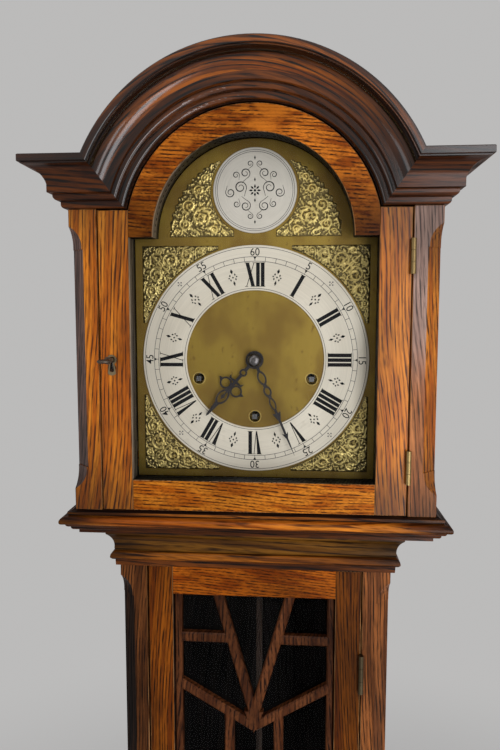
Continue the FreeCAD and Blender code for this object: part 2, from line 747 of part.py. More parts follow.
level = moulding(HOOD_HALF, HOOD_FRONT, BACK, *raised(CORNICE_PROFILE, CORNICE_Z))
between_mitres = panel(
    HOOD_FRONT - 60,
    HOOD_FRONT + 1,
    (-mitre_low, CORNICE_Z - 30),
    (mitre_low, CORNICE_Z - 30),
    mitre_point(mitre_low),
    (mitre_point(mitre_middle), mitre_point(mitre_high)),
    (mitre_high, above),
    (-mitre_high, above),
    to_left(mitre_point(mitre_high)),
    (to_left(mitre_point(mitre_middle)), to_left(mitre_point(mitre_low))),
)
shoulders = level[0].cut(between_mitres).Solids
save("cornice_straight", *shoulders, *level[1:])

# Dial mask: the inner frame between the hood door and the dial
MASK_FRONT = HOOD_FRONT + 22.0
MASK_BACK = HOOD_FRONT + 36.0
mask = break_arch(
    MASK_FRONT,
    MASK_BACK,
    HOOD_POST_INNER,
    POST_FOOT,
    CORNICE_Z,
    opening_radius,
    ARCH_Z,
)
mask_opening = break_arch(
    MASK_FRONT - 1,
    MASK_BACK + 1,
    DIAL_HALF - 0.5,
    DIAL_Z - DIAL_HALF + 0.5,
    DIAL_Z + DIAL_HALF - 0.5,
    DIAL_ARCH_RADIUS - 0.5,
    DIAL_Z + DIAL_ARCH_LIFT,
)
save("dial_mask", mask.cut(mask_opening))

# Hood door: stiles, foot rail, arched head, glass, hinges, lock and escutcheon
HOOD_DOOR_BACK = HOOD_FRONT + DOOR_THICKNESS
LOCK_HALF_HEIGHT = 19.0
LOCK_INNER = -129.5
LOCK_FRONT = HOOD_FRONT + 5.0
LOCK_BACK = HOOD_FRONT + 15.0

hood_stile = board(
    SIGHT_HALF, HOOD_DOOR_HALF, HOOD_FRONT, HOOD_DOOR_BACK, HOOD_DOOR_FOOT, HOOD_DOOR_SHOULDER
)
hood_stiles = pair(hood_stile)
for z in (DIAL_Z - HINGE_LIFT, DIAL_Z + HINGE_LIFT):
    hood_stiles[0] = hood_stiles[0].cut(hinge_recess(HOOD_FRONT, HOOD_DOOR_HALF, -1, z, HINGE_LENGTH))
lock_space = box(
    -HOOD_DOOR_HALF - 1,
    LOCK_INNER,
    LOCK_FRONT,
    LOCK_BACK,
    LOCK_Z - LOCK_HALF_HEIGHT,
    LOCK_Z + LOCK_HALF_HEIGHT,
)
key_space = rod_y(LOCK_X, LOCK_Z, HOOD_FRONT - 1, LOCK_FRONT + 1, KEY_RADIUS + 0.6)
key_slot = box(LOCK_X - 1.3, LOCK_X + 1.3, HOOD_FRONT - 1, LOCK_FRONT + 1, LOCK_Z - 9.5, LOCK_Z)
hood_stiles[1] = hood_stiles[1].cut(lock_space).cut(key_space).cut(key_slot)
save("hood_door_stiles", *hood_stiles)

foot_rail = board(-SIGHT_HALF, SIGHT_HALF, HOOD_FRONT, HOOD_DOOR_BACK, HOOD_DOOR_FOOT, SIGHT_FOOT)
head_spring = math.sqrt(DOOR_ARCH_RADIUS**2 - (HOOD_DOOR_SHOULDER - ARCH_Z) ** 2)
head_edge = min(head_spring, SIGHT_HALF)
arched_head = panel(
    HOOD_FRONT,
    HOOD_DOOR_BACK,
    (-SIGHT_HALF, SIGHT_SHOULDER),
    (-SIGHT_RADIUS, SIGHT_SHOULDER),
    ((0, SIGHT_SHOULDER + SIGHT_RADIUS), (SIGHT_RADIUS, SIGHT_SHOULDER)),
    (SIGHT_HALF, SIGHT_SHOULDER),
    (head_edge, HOOD_DOOR_SHOULDER),
    ((0, ARCH_Z + DOOR_ARCH_RADIUS), (-head_edge, HOOD_DOOR_SHOULDER)),
)
sight_edges = [
    e
    for e in arched_head.Edges
    if abs(e.BoundBox.YMax - HOOD_FRONT) < 0.01 and e.BoundBox.YLength < 0.01 and e.Length > 30
]
save("hood_door_rails", foot_rail, arched_head.makeChamfer(EASE, sight_edges))

GLASS_FRONT = HOOD_FRONT + 12.0
GLASS_THICKNESS = 3.0
glass = break_arch(
    GLASS_FRONT,
    GLASS_FRONT + GLASS_THICKNESS,
    SIGHT_HALF,
    SIGHT_FOOT,
    SIGHT_SHOULDER,
    SIGHT_RADIUS,
    SIGHT_SHOULDER,
)
save("hood_door_glass", glass)

hood_hinges = [
    hinge(HOOD_PIVOT, HOOD_FRONT, HOOD_DOOR_HALF, HOOD_POST_INNER, z, HINGE_LENGTH)
    for z in (DIAL_Z - HINGE_LIFT, DIAL_Z + HINGE_LIFT)
]
save("hood_hinge_post_leaves", *[h[0] for h in hood_hinges])
save("hood_hinge_door_leaves", *[h[1] for h in hood_hinges])


def keyhole(y0, y1, radius, waist, foot_half, foot):
    """Keyhole outline: a round eye on a flared skirt."""
    drop = math.sqrt(radius**2 - waist**2)
    return panel(
        y0,
        y1,
        (LOCK_X - foot_half, LOCK_Z + foot),
        ((LOCK_X, LOCK_Z + foot - foot_half * 0.5), (LOCK_X + foot_half, LOCK_Z + foot)),
        (LOCK_X + waist, LOCK_Z - drop),
        ((LOCK_X, LOCK_Z + radius), (LOCK_X - waist, LOCK_Z - drop)),
    )


escutcheon = keyhole(HOOD_FRONT - 1.0, HOOD_FRONT, 5.0, 2.6, 4.2, -14.0)
escutcheon = escutcheon.cut(keyhole(HOOD_FRONT - 2, HOOD_FRONT + 1, 3.2, 1.4, 2.4, -11.5))
save("hood_door_escutcheon", escutcheon)

lock_case = box(
    -HOOD_DOOR_HALF + 0.2,
    LOCK_INNER,
    LOCK_FRONT,
    LOCK_BACK,
    LOCK_Z - LOCK_HALF_HEIGHT,
    LOCK_Z + LOCK_HALF_HEIGHT,
)
bolt_tail = LOCK_INNER - 2.7
bolt_way = box(
    -HOOD_DOOR_HALF - 1,
    bolt_tail + 0.4,
    BOLT_FRONT - 0.4,
    BOLT_BACK + 0.4,
    LOCK_Z - BOLT_HALF - 0.4,
    LOCK_Z + BOLT_HALF + 0.4,
)
bit_space = rod_y(LOCK_X, LOCK_Z, LOCK_FRONT - 1, LOCK_BACK - 1.5, 3.4)
lock_case = lock_case.cut(bolt_way).cut(bit_space)
save("hood_door_lock", lock_case)
bolt = board(
    -HOOD_DOOR_HALF + 0.4,
    bolt_tail,
    BOLT_FRONT,
    BOLT_BACK,
    LOCK_Z - BOLT_HALF,
    LOCK_Z + BOLT_HALF,
    0.4,
)
key_clear = KEY_RADIUS + 0.8
key_window = box(
    LOCK_X - key_clear,
    LOCK_X + key_clear + BOLT_THROW,
    BOLT_FRONT - 1,
    BOLT_BACK + 1,
    LOCK_Z - key_clear,
    LOCK_Z + key_clear,
)
save("hood_lock_bolt", bolt.cut(key_window))

key_tip = LOCK_BACK - 2.5
bow_radius = 7.0
bow_y = HOOD_FRONT - KEY_REACH + bow_radius
shank = rod_y(LOCK_X, LOCK_Z, bow_y + bow_radius - 3, key_tip, KEY_RADIUS)
collar = rod_y(LOCK_X, LOCK_Z, HOOD_FRONT - 15, HOOD_FRONT - 12.5, KEY_RADIUS + 1.4)
bow = Part.makeTorus(bow_radius - 1.8, 1.8, Vector(LOCK_X, bow_y, LOCK_Z), Vector(0, 0, 1))
save("door_key", fused(shank, collar, bow))

# Dial: arched brass plate with feet, silvered chapter ring and boss, and cast corner ornaments
PLATE_BACK = PLATE_FACE + DIAL_PLATE
WINDING_PLACES = {
    "strike": (-WINDING_SPREAD, DIAL_Z - WINDING_DROP),
    "going": (0.0, DIAL_Z - WINDING_MIDDLE_DROP),
    "chime": (WINDING_SPREAD, DIAL_Z - WINDING_DROP),
}
HOUR_PIPE = 5.2
dial_plate = break_arch(
    PLATE_FACE,
    PLATE_BACK,
    DIAL_HALF,
    DIAL_Z - DIAL_HALF,
    DIAL_Z + DIAL_HALF,
    DIAL_ARCH_RADIUS,
    DIAL_Z + DIAL_ARCH_LIFT,
)
for x, z in WINDING_PLACES.values():
    dial_plate = dial_plate.cut(rod_y(x, z, PLATE_FACE - 1, PLATE_BACK + 1, WINDING_HOLE))
dial_plate = dial_plate.cut(rod_y(0, DIAL_Z, PLATE_FACE - 1, PLATE_BACK + 1, HOUR_PIPE + 1.5))
dial_feet = [
    rod_y(side * 78, DIAL_Z + lift, PLATE_BACK, FRONT_PLATE[0], 4.0) for side in (-1, 1) for lift in (62, -84)
]
save("dial_plate", fused(dial_plate, *dial_feet))

chapter_ring = rod_y(0, DIAL_Z, PLATE_FACE - RING_THICKNESS, PLATE_FACE, RING_OUTER)
chapter_ring = chapter_ring.cut(rod_y(0, DIAL_Z, PLATE_FACE - 5, PLATE_FACE + 1, RING_INNER))
ring_rims = [e for e in chapter_ring.Edges if abs(e.BoundBox.YMax - (PLATE_FACE - RING_THICKNESS)) < 0.01]
save("chapter_ring", chapter_ring.makeChamfer(0.4, ring_rims))

boss = rod_y(0, DIAL_Z + BOSS_LIFT, PLATE_FACE - RING_THICKNESS, PLATE_FACE, BOSS_RADIUS)
boss_rim = [e for e in boss.Edges if e.BoundBox.YMax < PLATE_FACE - RING_THICKNESS + 0.01]
save("boss_disc", boss.makeChamfer(0.4, boss_rim))

SPANDREL_BASE = 1.4
SPANDREL_RELIEF = 3.4
ring_gap = RING_OUTER + 2.5


def scroll(x, z, radius, width):
    """Raised round scroll of a cast ornament."""
    ring = rod_y(x, z, PLATE_FACE - SPANDREL_RELIEF, PLATE_FACE - SPANDREL_BASE / 2, radius)
    return ring.cut(rod_y(x, z, PLATE_FACE - SPANDREL_RELIEF - 1, PLATE_FACE, radius - width))


def corner_spandrel():
    """Ornament between the ring and the upper right corner: a pierced web with scrolls in two rows."""
    edge = DIAL_HALF - 4.5
    meet = math.sqrt(ring_gap**2 - edge**2) if ring_gap > edge else 0.0
    diagonal = ring_gap / math.sqrt(2)
    low = meet + 26.0
    at_low = math.sqrt(ring_gap**2 - low**2)
    web = panel(
        PLATE_FACE - SPANDREL_BASE,
        PLATE_FACE,
        (at_low, DIAL_Z + low),
        (edge, DIAL_Z + low),
        (edge, DIAL_Z + edge),
        (low, DIAL_Z + edge),
        (low, DIAL_Z + at_low),
        ((diagonal, DIAL_Z + diagonal), (at_low, DIAL_Z + low)),
    )
    boss_at = 104.0
    stud = rod_y(boss_at, DIAL_Z + boss_at, PLATE_FACE - SPANDREL_RELIEF, PLATE_FACE - SPANDREL_BASE / 2, 5.0)
    raised_parts = [scroll(boss_at, DIAL_Z + boss_at, 13.0, 3.2), stud]
    for a, b, radius in ((113.0, 79.0, 8.2), (115.5, 61.0, 6.0), (117.0, 47.0, 4.4)):
        raised_parts.append(scroll(a, DIAL_Z + b, radius, 2.4))
        raised_parts.append(scroll(b, DIAL_Z + a, radius, 2.4))
    return fused(web, *raised_parts)


upper_corner = corner_spandrel()
lower_corner = upper_corner.mirror(Vector(0, 0, DIAL_Z), Vector(0, 0, 1))


def arch_spandrel():
    """Ornament beside the boss, between it and the rim of the dial's arch, on the right."""
    centre = DIAL_Z + DIAL_ARCH_LIFT
    outer = DIAL_ARCH_RADIUS - 15.0
    inner = BOSS_RADIUS + 2.5
    boss_z = DIAL_Z + BOSS_LIFT
    foot = 8.0
    head = 58.0
    outer_foot = math.sqrt(outer**2 - foot**2)
    inner_foot = math.sqrt(inner**2 - (foot - BOSS_LIFT + DIAL_ARCH_LIFT) ** 2)
    outer_head = polar(0, centre, outer, head)
    inner_head = polar(0, boss_z, inner, 36.0)
    web = panel(
        PLATE_FACE - SPANDREL_BASE,
        PLATE_FACE,
        (inner_foot, centre + foot),
        (outer_foot, centre + foot),
        (polar(0, centre, outer, 34.0), outer_head),
        inner_head,
        (polar(0, boss_z, inner, -2.0), (inner_foot, centre + foot)),
    )
    places = ((60.0, 20.0, 9.0), (75.0, 15.0, 6.5), (64.0, 38.0, 8.0), (56.0, 55.0, 6.5), (47.0, 67.0, 4.5))
    return fused(web, *[scroll(x, centre + z, radius, 2.6) for x, z, radius in places])


save("spandrels", *pair(upper_corner), *pair(lower_corner), *pair(arch_spandrel()))

# Movement: two plates on pillars that are riveted to the back plate
PILLAR = 5.0
ARBOR = 2.5
PIVOT = 1.6
ESCAPE_LIFT = 42.0
ESCAPE = (0.0, DIAL_Z + ESCAPE_LIFT)
ANCHOR = (0.0, DIAL_Z + SUSPENSION_LIFT)
TRAIN_MODULE = 0.6
CENTRE_TEETH, THIRD_PINION, THIRD_TEETH, ESCAPE_PINION = 80, 8, 64, 8
to_third = TRAIN_MODULE * (CENTRE_TEETH + THIRD_PINION) / 2
to_escape = TRAIN_MODULE * (THIRD_TEETH + ESCAPE_PINION) / 2
third_rise = (to_third**2 - to_escape**2 + ESCAPE_LIFT**2) / (2 * ESCAPE_LIFT)
THIRD = (math.sqrt(to_third**2 - third_rise**2), DIAL_Z + third_rise)
MOTION_MODULE = 0.75
HOUR_MODULE = 0.72
CANNON_TEETH, MINUTE_TEETH, MINUTE_PINION, HOUR_TEETH = 12, 36, 10, 40
motion_reach = MOTION_MODULE * (CANNON_TEETH + MINUTE_TEETH) / 2
MOTION = (-motion_reach / math.sqrt(2), DIAL_Z + motion_reach / math.sqrt(2))
CENTRE = (0.0, DIAL_Z)
BARREL_RADIUS = 32.0
WINDING_ARBOR = 4.0


def plate(span):
    y0, y1 = span
    solid = board(
        -MOVEMENT_HALF, MOVEMENT_HALF, y0, y1, DIAL_Z + MOVEMENT_FOOT, DIAL_Z + MOVEMENT_HEAD, 0.4
    )
    for x, z in WINDING_PLACES.values():
        solid = solid.cut(rod_y(x, z, y0 - 1, y1 + 1, WINDING_ARBOR + RUNNING))
    for x, z in (CENTRE, THIRD, ESCAPE, ANCHOR):
        solid = solid.cut(rod_y(x, z, y0 - 1, y1 + 1, PIVOT + RUNNING))
    return solid


front_plate = plate(FRONT_PLATE)
MOTION_STUD = 1.5
motion_stud = rod_y(MOTION[0], MOTION[1], FRONT_PLATE[0] - 13.0, FRONT_PLATE[0], MOTION_STUD)
save("movement_front_plate", fused(front_plate, motion_stud))

HAMMER_Y = 62.0
HAMMER_Z = DIAL_Z - 22.0
hammer_ears = [box(x, x + 3, BACK_PLATE[1], HAMMER_Y + 5, HAMMER_Z - 6, HAMMER_Z + 6) for x in (-86, -19)]
hammer_ears = [ear.cut(rod_x(HAMMER_Y, HAMMER_Z, -90, -10, 2 + RUNNING)) for ear in hammer_ears]
pillars = [
    rod_y(side * 82, DIAL_Z + lift, FRONT_PLATE[1], BACK_PLATE[0], PILLAR)
    for side in (-1, 1)
    for lift in (74, -92)
]
save("movement_back_plate", fused(plate(BACK_PLATE), *pillars, *hammer_ears))

BARREL_SPAN = (-8.0, 26.0)
barrels = []
for x, z in WINDING_PLACES.values():
    drum = rod_y(x, z, BARREL_SPAN[0], BARREL_SPAN[1], BARREL_RADIUS)
    rim = [e for e in drum.Edges if e.Length > 2 * BARREL_RADIUS * 3]
    drum = drum.makeChamfer(0.8, rim)
    barrels.append(drum.cut(rod_y(x, z, -20, 40, WINDING_ARBOR + RUNNING)))
save("spring_barrels", *barrels)

SQUARE_HALF = 2.6
RATCHET_SPAN = (-20.0, -17.5)
for name, (x, z) in WINDING_PLACES.items():
    arbor = rod_y(x, z, FRONT_PLATE[0] - 2, BACK_PLATE[1] + 1, WINDING_ARBOR)
    square = box(
        x - SQUARE_HALF, x + SQUARE_HALF, PLATE_FACE - 1.5, FRONT_PLATE[0], z - SQUARE_HALF, z + SQUARE_HALF
    )
    ratchet = wheel(x, z, RATCHET_SPAN[0], RATCHET_SPAN[1], 24, 1.3, 0)
    save(name + "_winding_arbor", fused(arbor, square, ratchet))


def arbor_between_plates(place, radius=ARBOR):
    """Arbor with a pivot in each plate."""
    x, z = place
    middle = rod_y(x, z, FRONT_PLATE[1] + 0.5, BACK_PLATE[0] - 0.5, radius)
    return fused(middle, rod_y(x, z, FRONT_PLATE[0] - 0.2, BACK_PLATE[1] + 0.2, PIVOT))


def bearing(a, b):
    """Angle from one arbor to another, seen from the front."""
    return math.degrees(math.atan2(b[1] - a[1], b[0] - a[0]))


def meshing(a, b, teeth):
    """Angle that turns a gap of the wheel at b towards the wheel at a."""
    return bearing(b, a) + 180.0 / teeth


CENTRE_SPAN = (16.0, 18.0)
THIRD_SPAN = (6.0, 8.0)
ESCAPE_SPAN = (-4.0, -2.0)
centre_wheel = wheel(*CENTRE, *CENTRE_SPAN, CENTRE_TEETH, TRAIN_MODULE, bearing(CENTRE, THIRD))
centre_wheel = crossed_out(centre_wheel, *CENTRE, *CENTRE_SPAN, 6.5, 20.0)
centre_front = rod_y(*CENTRE, PLATE_FACE - 13.0, FRONT_PLATE[0], PIVOT)
save("centre_arbor", fused(centre_wheel, arbor_between_plates(CENTRE), centre_front))

third_wheel = wheel(*THIRD, *THIRD_SPAN, THIRD_TEETH, TRAIN_MODULE, bearing(THIRD, ESCAPE))
third_wheel = crossed_out(third_wheel, *THIRD, *THIRD_SPAN, 5.5, 15.5)
third_pinion = wheel(*THIRD, 12.0, 22.0, THIRD_PINION, TRAIN_MODULE, meshing(CENTRE, THIRD, THIRD_PINION))
third_arbor = arbor_between_plates(THIRD, 1.65)
save("third_wheel", fused(third_wheel, third_pinion, third_arbor))

ESCAPE_TEETH = 30
ESCAPE_TIP, ESCAPE_ROOT = 14.5, 11.5
escape_corners = []
for tooth in range(ESCAPE_TEETH):
    turn = tooth * 360.0 / ESCAPE_TEETH
    escape_corners.append(polar(*ESCAPE, ESCAPE_TIP, turn))
    escape_corners.append(polar(*ESCAPE, ESCAPE_TIP, turn + 1.2))
    escape_corners.append(polar(*ESCAPE, ESCAPE_ROOT, turn + 5.0))
escape_wheel = panel(*ESCAPE_SPAN, *escape_corners)
escape_wheel = crossed_out(escape_wheel, *ESCAPE, *ESCAPE_SPAN, 4.5, 9.8)
escape_pinion = wheel(*ESCAPE, 2.0, 12.0, ESCAPE_PINION, TRAIN_MODULE, meshing(THIRD, ESCAPE, ESCAPE_PINION))
save("escape_wheel", fused(escape_wheel, escape_pinion, arbor_between_plates(ESCAPE, 1.65)))

# Anchor above the escape wheel, with the crutch that drives the pendulum behind the back plate
PALLET_CLEAR = 2.0
pallet_inner = ESCAPE_TIP + PALLET_CLEAR
anchor_arms = []
for side in (-1, 1):
    foot = polar(*ESCAPE, pallet_inner, 90 - side * 52)
    knee = polar(*ESCAPE, pallet_inner + 3.5, 90 - side * 52)
    top = (ANCHOR[0], ANCHOR[1] - 2.5)
    anchor_arms.append(
        panel(*ESCAPE_SPAN, (ANCHOR[0], ANCHOR[1] + 4), knee, foot, (top[0] + side * 0.5, top[1] + 0.6), top)
    )
CRUTCH_SPAN = (37.5, 40.0)
crutch_foot = ANCHOR[1] - 52.0
crutch = box(-2.5, 2.5, CRUTCH_SPAN[0], CRUTCH_SPAN[1], crutch_foot, ANCHOR[1] + 4)
fork_inner = ROD_WIDTH / 2 + 0.4
fork_outer = 6.5
fork_head = crutch_foot + 5
fork = pair(box(fork_inner, fork_outer, CRUTCH_SPAN[0], PENDULUM_Y + 3, crutch_foot, fork_head))
fork_bridge = box(-fork_outer, fork_outer, CRUTCH_SPAN[0], CRUTCH_SPAN[1], crutch_foot, fork_head)
anchor_arbor = fused(arbor_between_plates(ANCHOR, 1.65), rod_y(*ANCHOR, BACK_PLATE[1], CRUTCH_SPAN[1], PIVOT))
save("pallet_anchor", fused(anchor_arbor, *anchor_arms, crutch, fork_bridge, *fork))

# Motion work between the front plate and the dial: cannon pinion, minute wheel and hour wheel
CANNON_SPAN = (-32.0, -28.0)
HOUR_SPAN = (-38.0, -35.0)
CANNON_PIPE = 3.0
MINUTE_HAND_Y = PLATE_FACE - 11.0
HOUR_HAND_Y = PLATE_FACE - 6.0
HAND_THICKNESS = 1.3
motion_from_centre = bearing(CENTRE, MOTION)
cannon = wheel(*CENTRE, *CANNON_SPAN, CANNON_TEETH, MOTION_MODULE, motion_from_centre)
cannon_pipe = rod_y(*CENTRE, MINUTE_HAND_Y, CANNON_SPAN[1], CANNON_PIPE)
cannon_bore = rod_y(*CENTRE, -90, 0, PIVOT + RUNNING)
save("cannon_pinion", fused(cannon, cannon_pipe).cut(cannon_bore))

minute_front, minute_back = CANNON_SPAN[0] + 0.5, CANNON_SPAN[1] - 0.5
gap_to_centre = meshing(CENTRE, MOTION, MINUTE_TEETH)
minute_wheel = wheel(*MOTION, minute_front, minute_back, MINUTE_TEETH, MOTION_MODULE, gap_to_centre)
tooth_to_centre = bearing(MOTION, CENTRE)
minute_pinion = wheel(*MOTION, HOUR_SPAN[0] - 0.5, minute_front, MINUTE_PINION, HOUR_MODULE, tooth_to_centre)
minute_bore = rod_y(*MOTION, -60, 0, MOTION_STUD + RUNNING)
save("minute_wheel", fused(minute_wheel, minute_pinion).cut(minute_bore))

hour_wheel = wheel(*CENTRE, *HOUR_SPAN, HOUR_TEETH, HOUR_MODULE, meshing(MOTION, CENTRE, HOUR_TEETH))
hour_pipe = rod_y(*CENTRE, HOUR_HAND_Y, HOUR_SPAN[1], HOUR_PIPE)
hour_bore = rod_y(*CENTRE, -90, 0, CANNON_PIPE + RUNNING)
save("hour_wheel", fused(hour_wheel, hour_pipe).cut(hour_bore))


# Hands: sawn from sheet steel, drawn pointing up from the centre and turned to the time
def hand_plate(y, outline):
    return panel(y - HAND_THICKNESS, y, *[(u, DIAL_Z + v) for u, v in outline])


def hand_ring(y, u, v, outer, inner):
    ring = rod_y(u, DIAL_Z + v, y - HAND_THICKNESS, y, outer)
    return ring.cut(rod_y(u, DIAL_Z + v, y - 3, y + 2, inner))


def turned(hand, clockwise):
    hand.rotate(Vector(0, 0, DIAL_Z), Vector(0, 1, 0), clockwise)
    return hand


def both_sides(outline):
    """Outline of the right half, from the foot up, closed with its mirror image."""
    return list(outline) + [(-u, v) for u, v in reversed(outline) if u > 0]


def hand_loop(y, foot, tip, half, wall):
    """Pointed open loop on the middle line of a hand."""
    middle = DIAL_Z + (foot + tip) / 2
    low, high = DIAL_Z + foot, DIAL_Z + tip
    loop = panel(y - HAND_THICKNESS, y, (0, low), ((half, middle), (0, high)), ((-half, middle), (0, low)))
    slim = half - wall
    end = wall * 1.8
    hole = panel(
        y - 3, y + 2, (0, low + end), ((slim, middle), (0, high - end)), ((-slim, middle), (0, low + end))
    )
    return loop.cut(hole)


COLLET = 9.5
WALL = 1.7
hour_y = HOUR_HAND_Y
side_ring_u, side_ring_v, side_ring = 7.2, 38.3, 6.4
hour_parts = [
    rod_y(0, DIAL_Z, hour_y - HAND_THICKNESS, hour_y, COLLET),
    hand_plate(hour_y, both_sides([(1.8, 6.0), (1.8, 15.0)])),
    hand_ring(hour_y, 0, 18.0, 4.2, 2.2),
    hand_plate(hour_y, both_sides([(1.6, 21.0), (1.6, 33.0), (2.6, 38.3), (1.4, 45.0)])),
    hand_plate(hour_y, both_sides([(1.0, 29.6), (6.4, 29.9), (9.0, 27.0), (8.2, 31.4), (1.0, 32.4)])),
    hand_loop(hour_y, 41.0, 63.0, 6.0, WALL),
    hand_plate(hour_y, both_sides([(0.7, 43.0), (0.7, 48.5), (2.0, 51.5), (0, 55.5)])),
    hand_plate(hour_y, both_sides([(2.5, 60.0), (2.3, 63.0), (1.3, HOUR_LENGTH - 3), (0, HOUR_LENGTH)])),
]
for side in (-1, 1):
    hour_parts.append(hand_ring(hour_y, side * side_ring_u, side_ring_v, side_ring, side_ring - WALL))
    spur = [(12.8, side_ring_v - 2.2), (17.0, side_ring_v - 1.2), (12.8, side_ring_v + 2.6)]
    hour_parts.append(hand_plate(hour_y, [(side * u, v) for u, v in spur]))
hour_hand = fused(*hour_parts).cut(rod_y(0, DIAL_Z, -90, 0, CANNON_PIPE + RUNNING))
save("hour_hand", turned(hour_hand, HOUR_ANGLE))

minute_y = MINUTE_HAND_Y
minute_parts = [
    rod_y(0, DIAL_Z, minute_y - HAND_THICKNESS, minute_y, COLLET - 2),
    hand_plate(minute_y, both_sides([(1.8, 5.0), (1.4, 13.5)])),
    hand_loop(minute_y, 11.0, 29.6, 4.6, WALL),
    hand_loop(minute_y, 28.4, 42.6, 4.2, WALL),
    hand_loop(minute_y, 41.4, 58.4, 3.3, 1.4),
    hand_plate(minute_y, both_sides([(1.2, 27.5), (2.2, 29.0), (1.2, 30.5)])),
    hand_plate(minute_y, both_sides([(1.2, 40.5), (2.2, 42.0), (1.2, 43.5)])),
    hand_plate(minute_y, both_sides([(1.3, 57.0), (1.3, 61.0), (4.6, 59.6), (3.4, 63.0), (1.3, 68.5)])),
    hand_plate(minute_y, both_sides([(1.2, 60.0), (1.2, 86.0)])),
    hand_plate(minute_y, both_sides([(1.2, 84.8), (3.4, 83.0), (1.0, 89.5), (0.8, 96), (0, MINUTE_LENGTH)])),
]
minute_hand = fused(*minute_parts).cut(rod_y(0, DIAL_Z, -90, 0, PIVOT + RUNNING))
save("minute_hand", turned(minute_hand, MINUTE_ANGLE))

NUT = 7.0
nut_back = minute_y - HAND_THICKNESS
hand_nut = face(
    lambda r, y: Vector(r, y, DIAL_Z),
    (0, nut_back - 5.0),
    ((NUT * 0.72, nut_back - 3.8), (NUT, nut_back - 1.2)),
    (NUT, nut_back),
    (0, nut_back),
).revolve(Vector(0, 0, DIAL_Z), Vector(0, 1, 0), 360)
save("hand_nut", hand_nut.cut(rod_y(0, DIAL_Z, nut_back - 2.2, 0, PIVOT + RUNNING)))

# Suspension cock and pendulum: the bend of the suspension spring is a pin at the height of the anchor
PENDULUM_PIN = 1.5
cock_block = board(-9, 9, BACK_PLATE[1], PENDULUM_Y + 7, ANCHOR[1] + 9, ANCHOR[1] + 24, 0.5)
cock_leg = box(-7, 7, PENDULUM_Y + 4, PENDULUM_Y + 7, ANCHOR[1] - 5, ANCHOR[1] + 10)
cock_pin = rod_y(*ANCHOR, PENDULUM_Y - 3.5, PENDULUM_Y + 4, PENDULUM_PIN)
save("pendulum_cock", fused(cock_block, cock_leg, cock_pin))

bob_z = ANCHOR[1] - PENDULUM_LENGTH
rod_half = ROD_WIDTH / 2
rod_foot = bob_z - BOB_RADIUS - 14.0
eye = rod_y(*ANCHOR, PENDULUM_Y - 3, PENDULUM_Y + 3, 4.5)
chops = box(-6, 6, PENDULUM_Y - 3, PENDULUM_Y + 3, ANCHOR[1] - 14, ANCHOR[1] - 3)
pendulum_rod = box(-rod_half, rod_half, PENDULUM_Y - 1.3, PENDULUM_Y + 1.3, rod_foot, ANCHOR[1] - 13)
pendulum_rod = fused(eye, chops, pendulum_rod).cut(
    rod_y(*ANCHOR, PENDULUM_Y - 9, PENDULUM_Y + 9, PENDULUM_PIN + RUNNING)
)
save("pendulum_rod", pendulum_rod)

BOB_HALF_THICKNESS = 11.0
bob_section = face(
    lambda r, y: Vector(r, PENDULUM_Y + y, bob_z),
    (0, -BOB_HALF_THICKNESS),
    ((BOB_RADIUS * 0.55, -BOB_HALF_THICKNESS * 0.72), (BOB_RADIUS - 1.0, -1.2)),
    ((BOB_RADIUS, 0), (BOB_RADIUS - 1.0, 1.2)),
    ((BOB_RADIUS * 0.55, BOB_HALF_THICKNESS * 0.72), (0, BOB_HALF_THICKNESS)),
)
bob = bob_section.revolve(Vector(0, PENDULUM_Y, bob_z), Vector(0, 1, 0), 360)
rod_way = box(-rod_half, rod_half, PENDULUM_Y - 1.3, PENDULUM_Y + 1.3, bob_z - 90, bob_z + 90)
nut_top = bob_z - BOB_RADIUS - 1.0
rating_nut = rod_z(0, PENDULUM_Y, nut_top - 7, nut_top, 8.0)
rating_nut = rating_nut.makeChamfer(0.8, [e for e in rating_nut.Edges if e.Length > 40])
save("pendulum_bob", bob.cut(rod_way), rating_nut.cut(rod_way))

# Rod gong on the back board, with the hammers that strike it
GONG_Y = 98.0
GONG_TOP = DIAL_Z + 22.0
GONG_RODS = 4
GONG_PITCH = 14.0
GONG_FIRST = -76.0
gong_block = board(-92, -16, GONG_Y - 9, BACK - 12, GONG_TOP, GONG_TOP + 30, 1.5)
gong_rods = []
for number in range(GONG_RODS):
    x = GONG_FIRST + number * GONG_PITCH
    gong_rods.append(rod_z(x, GONG_Y, GONG_TOP - 210 - 26 * number, GONG_TOP, 1.6))
save("rod_gong", gong_block, *gong_rods)

hammer_arbor = rod_x(HAMMER_Y, HAMMER_Z, -86.4, -15.6, 2.0)
hammer_parts = []
HEAD_Z = HAMMER_Z + 20.0
for number in range(GONG_RODS):
    x = GONG_FIRST + number * GONG_PITCH
    hub = rod_x(HAMMER_Y, HAMMER_Z, x - 3, x + 3, 4.5)
    arm = box(x - 1.2, x + 1.2, HAMMER_Y + 3, HAMMER_Y + 5.5, HAMMER_Z - 1, HEAD_Z + 4)
    foot = box(x - 1.2, x + 1.2, HAMMER_Y, HAMMER_Y + 5.5, HAMMER_Z - 2, HAMMER_Z + 2)
    head = rod_y(x, HEAD_Z, HAMMER_Y + 2, GONG_Y - 6, 4.0)
    hammer_parts += [hub, arm, foot, head]
save("chime_hammers", fused(hammer_arbor, *hammer_parts))
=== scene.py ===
"""Looks of an oak longcase clock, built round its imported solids, in metres and in the same frame."""

import math

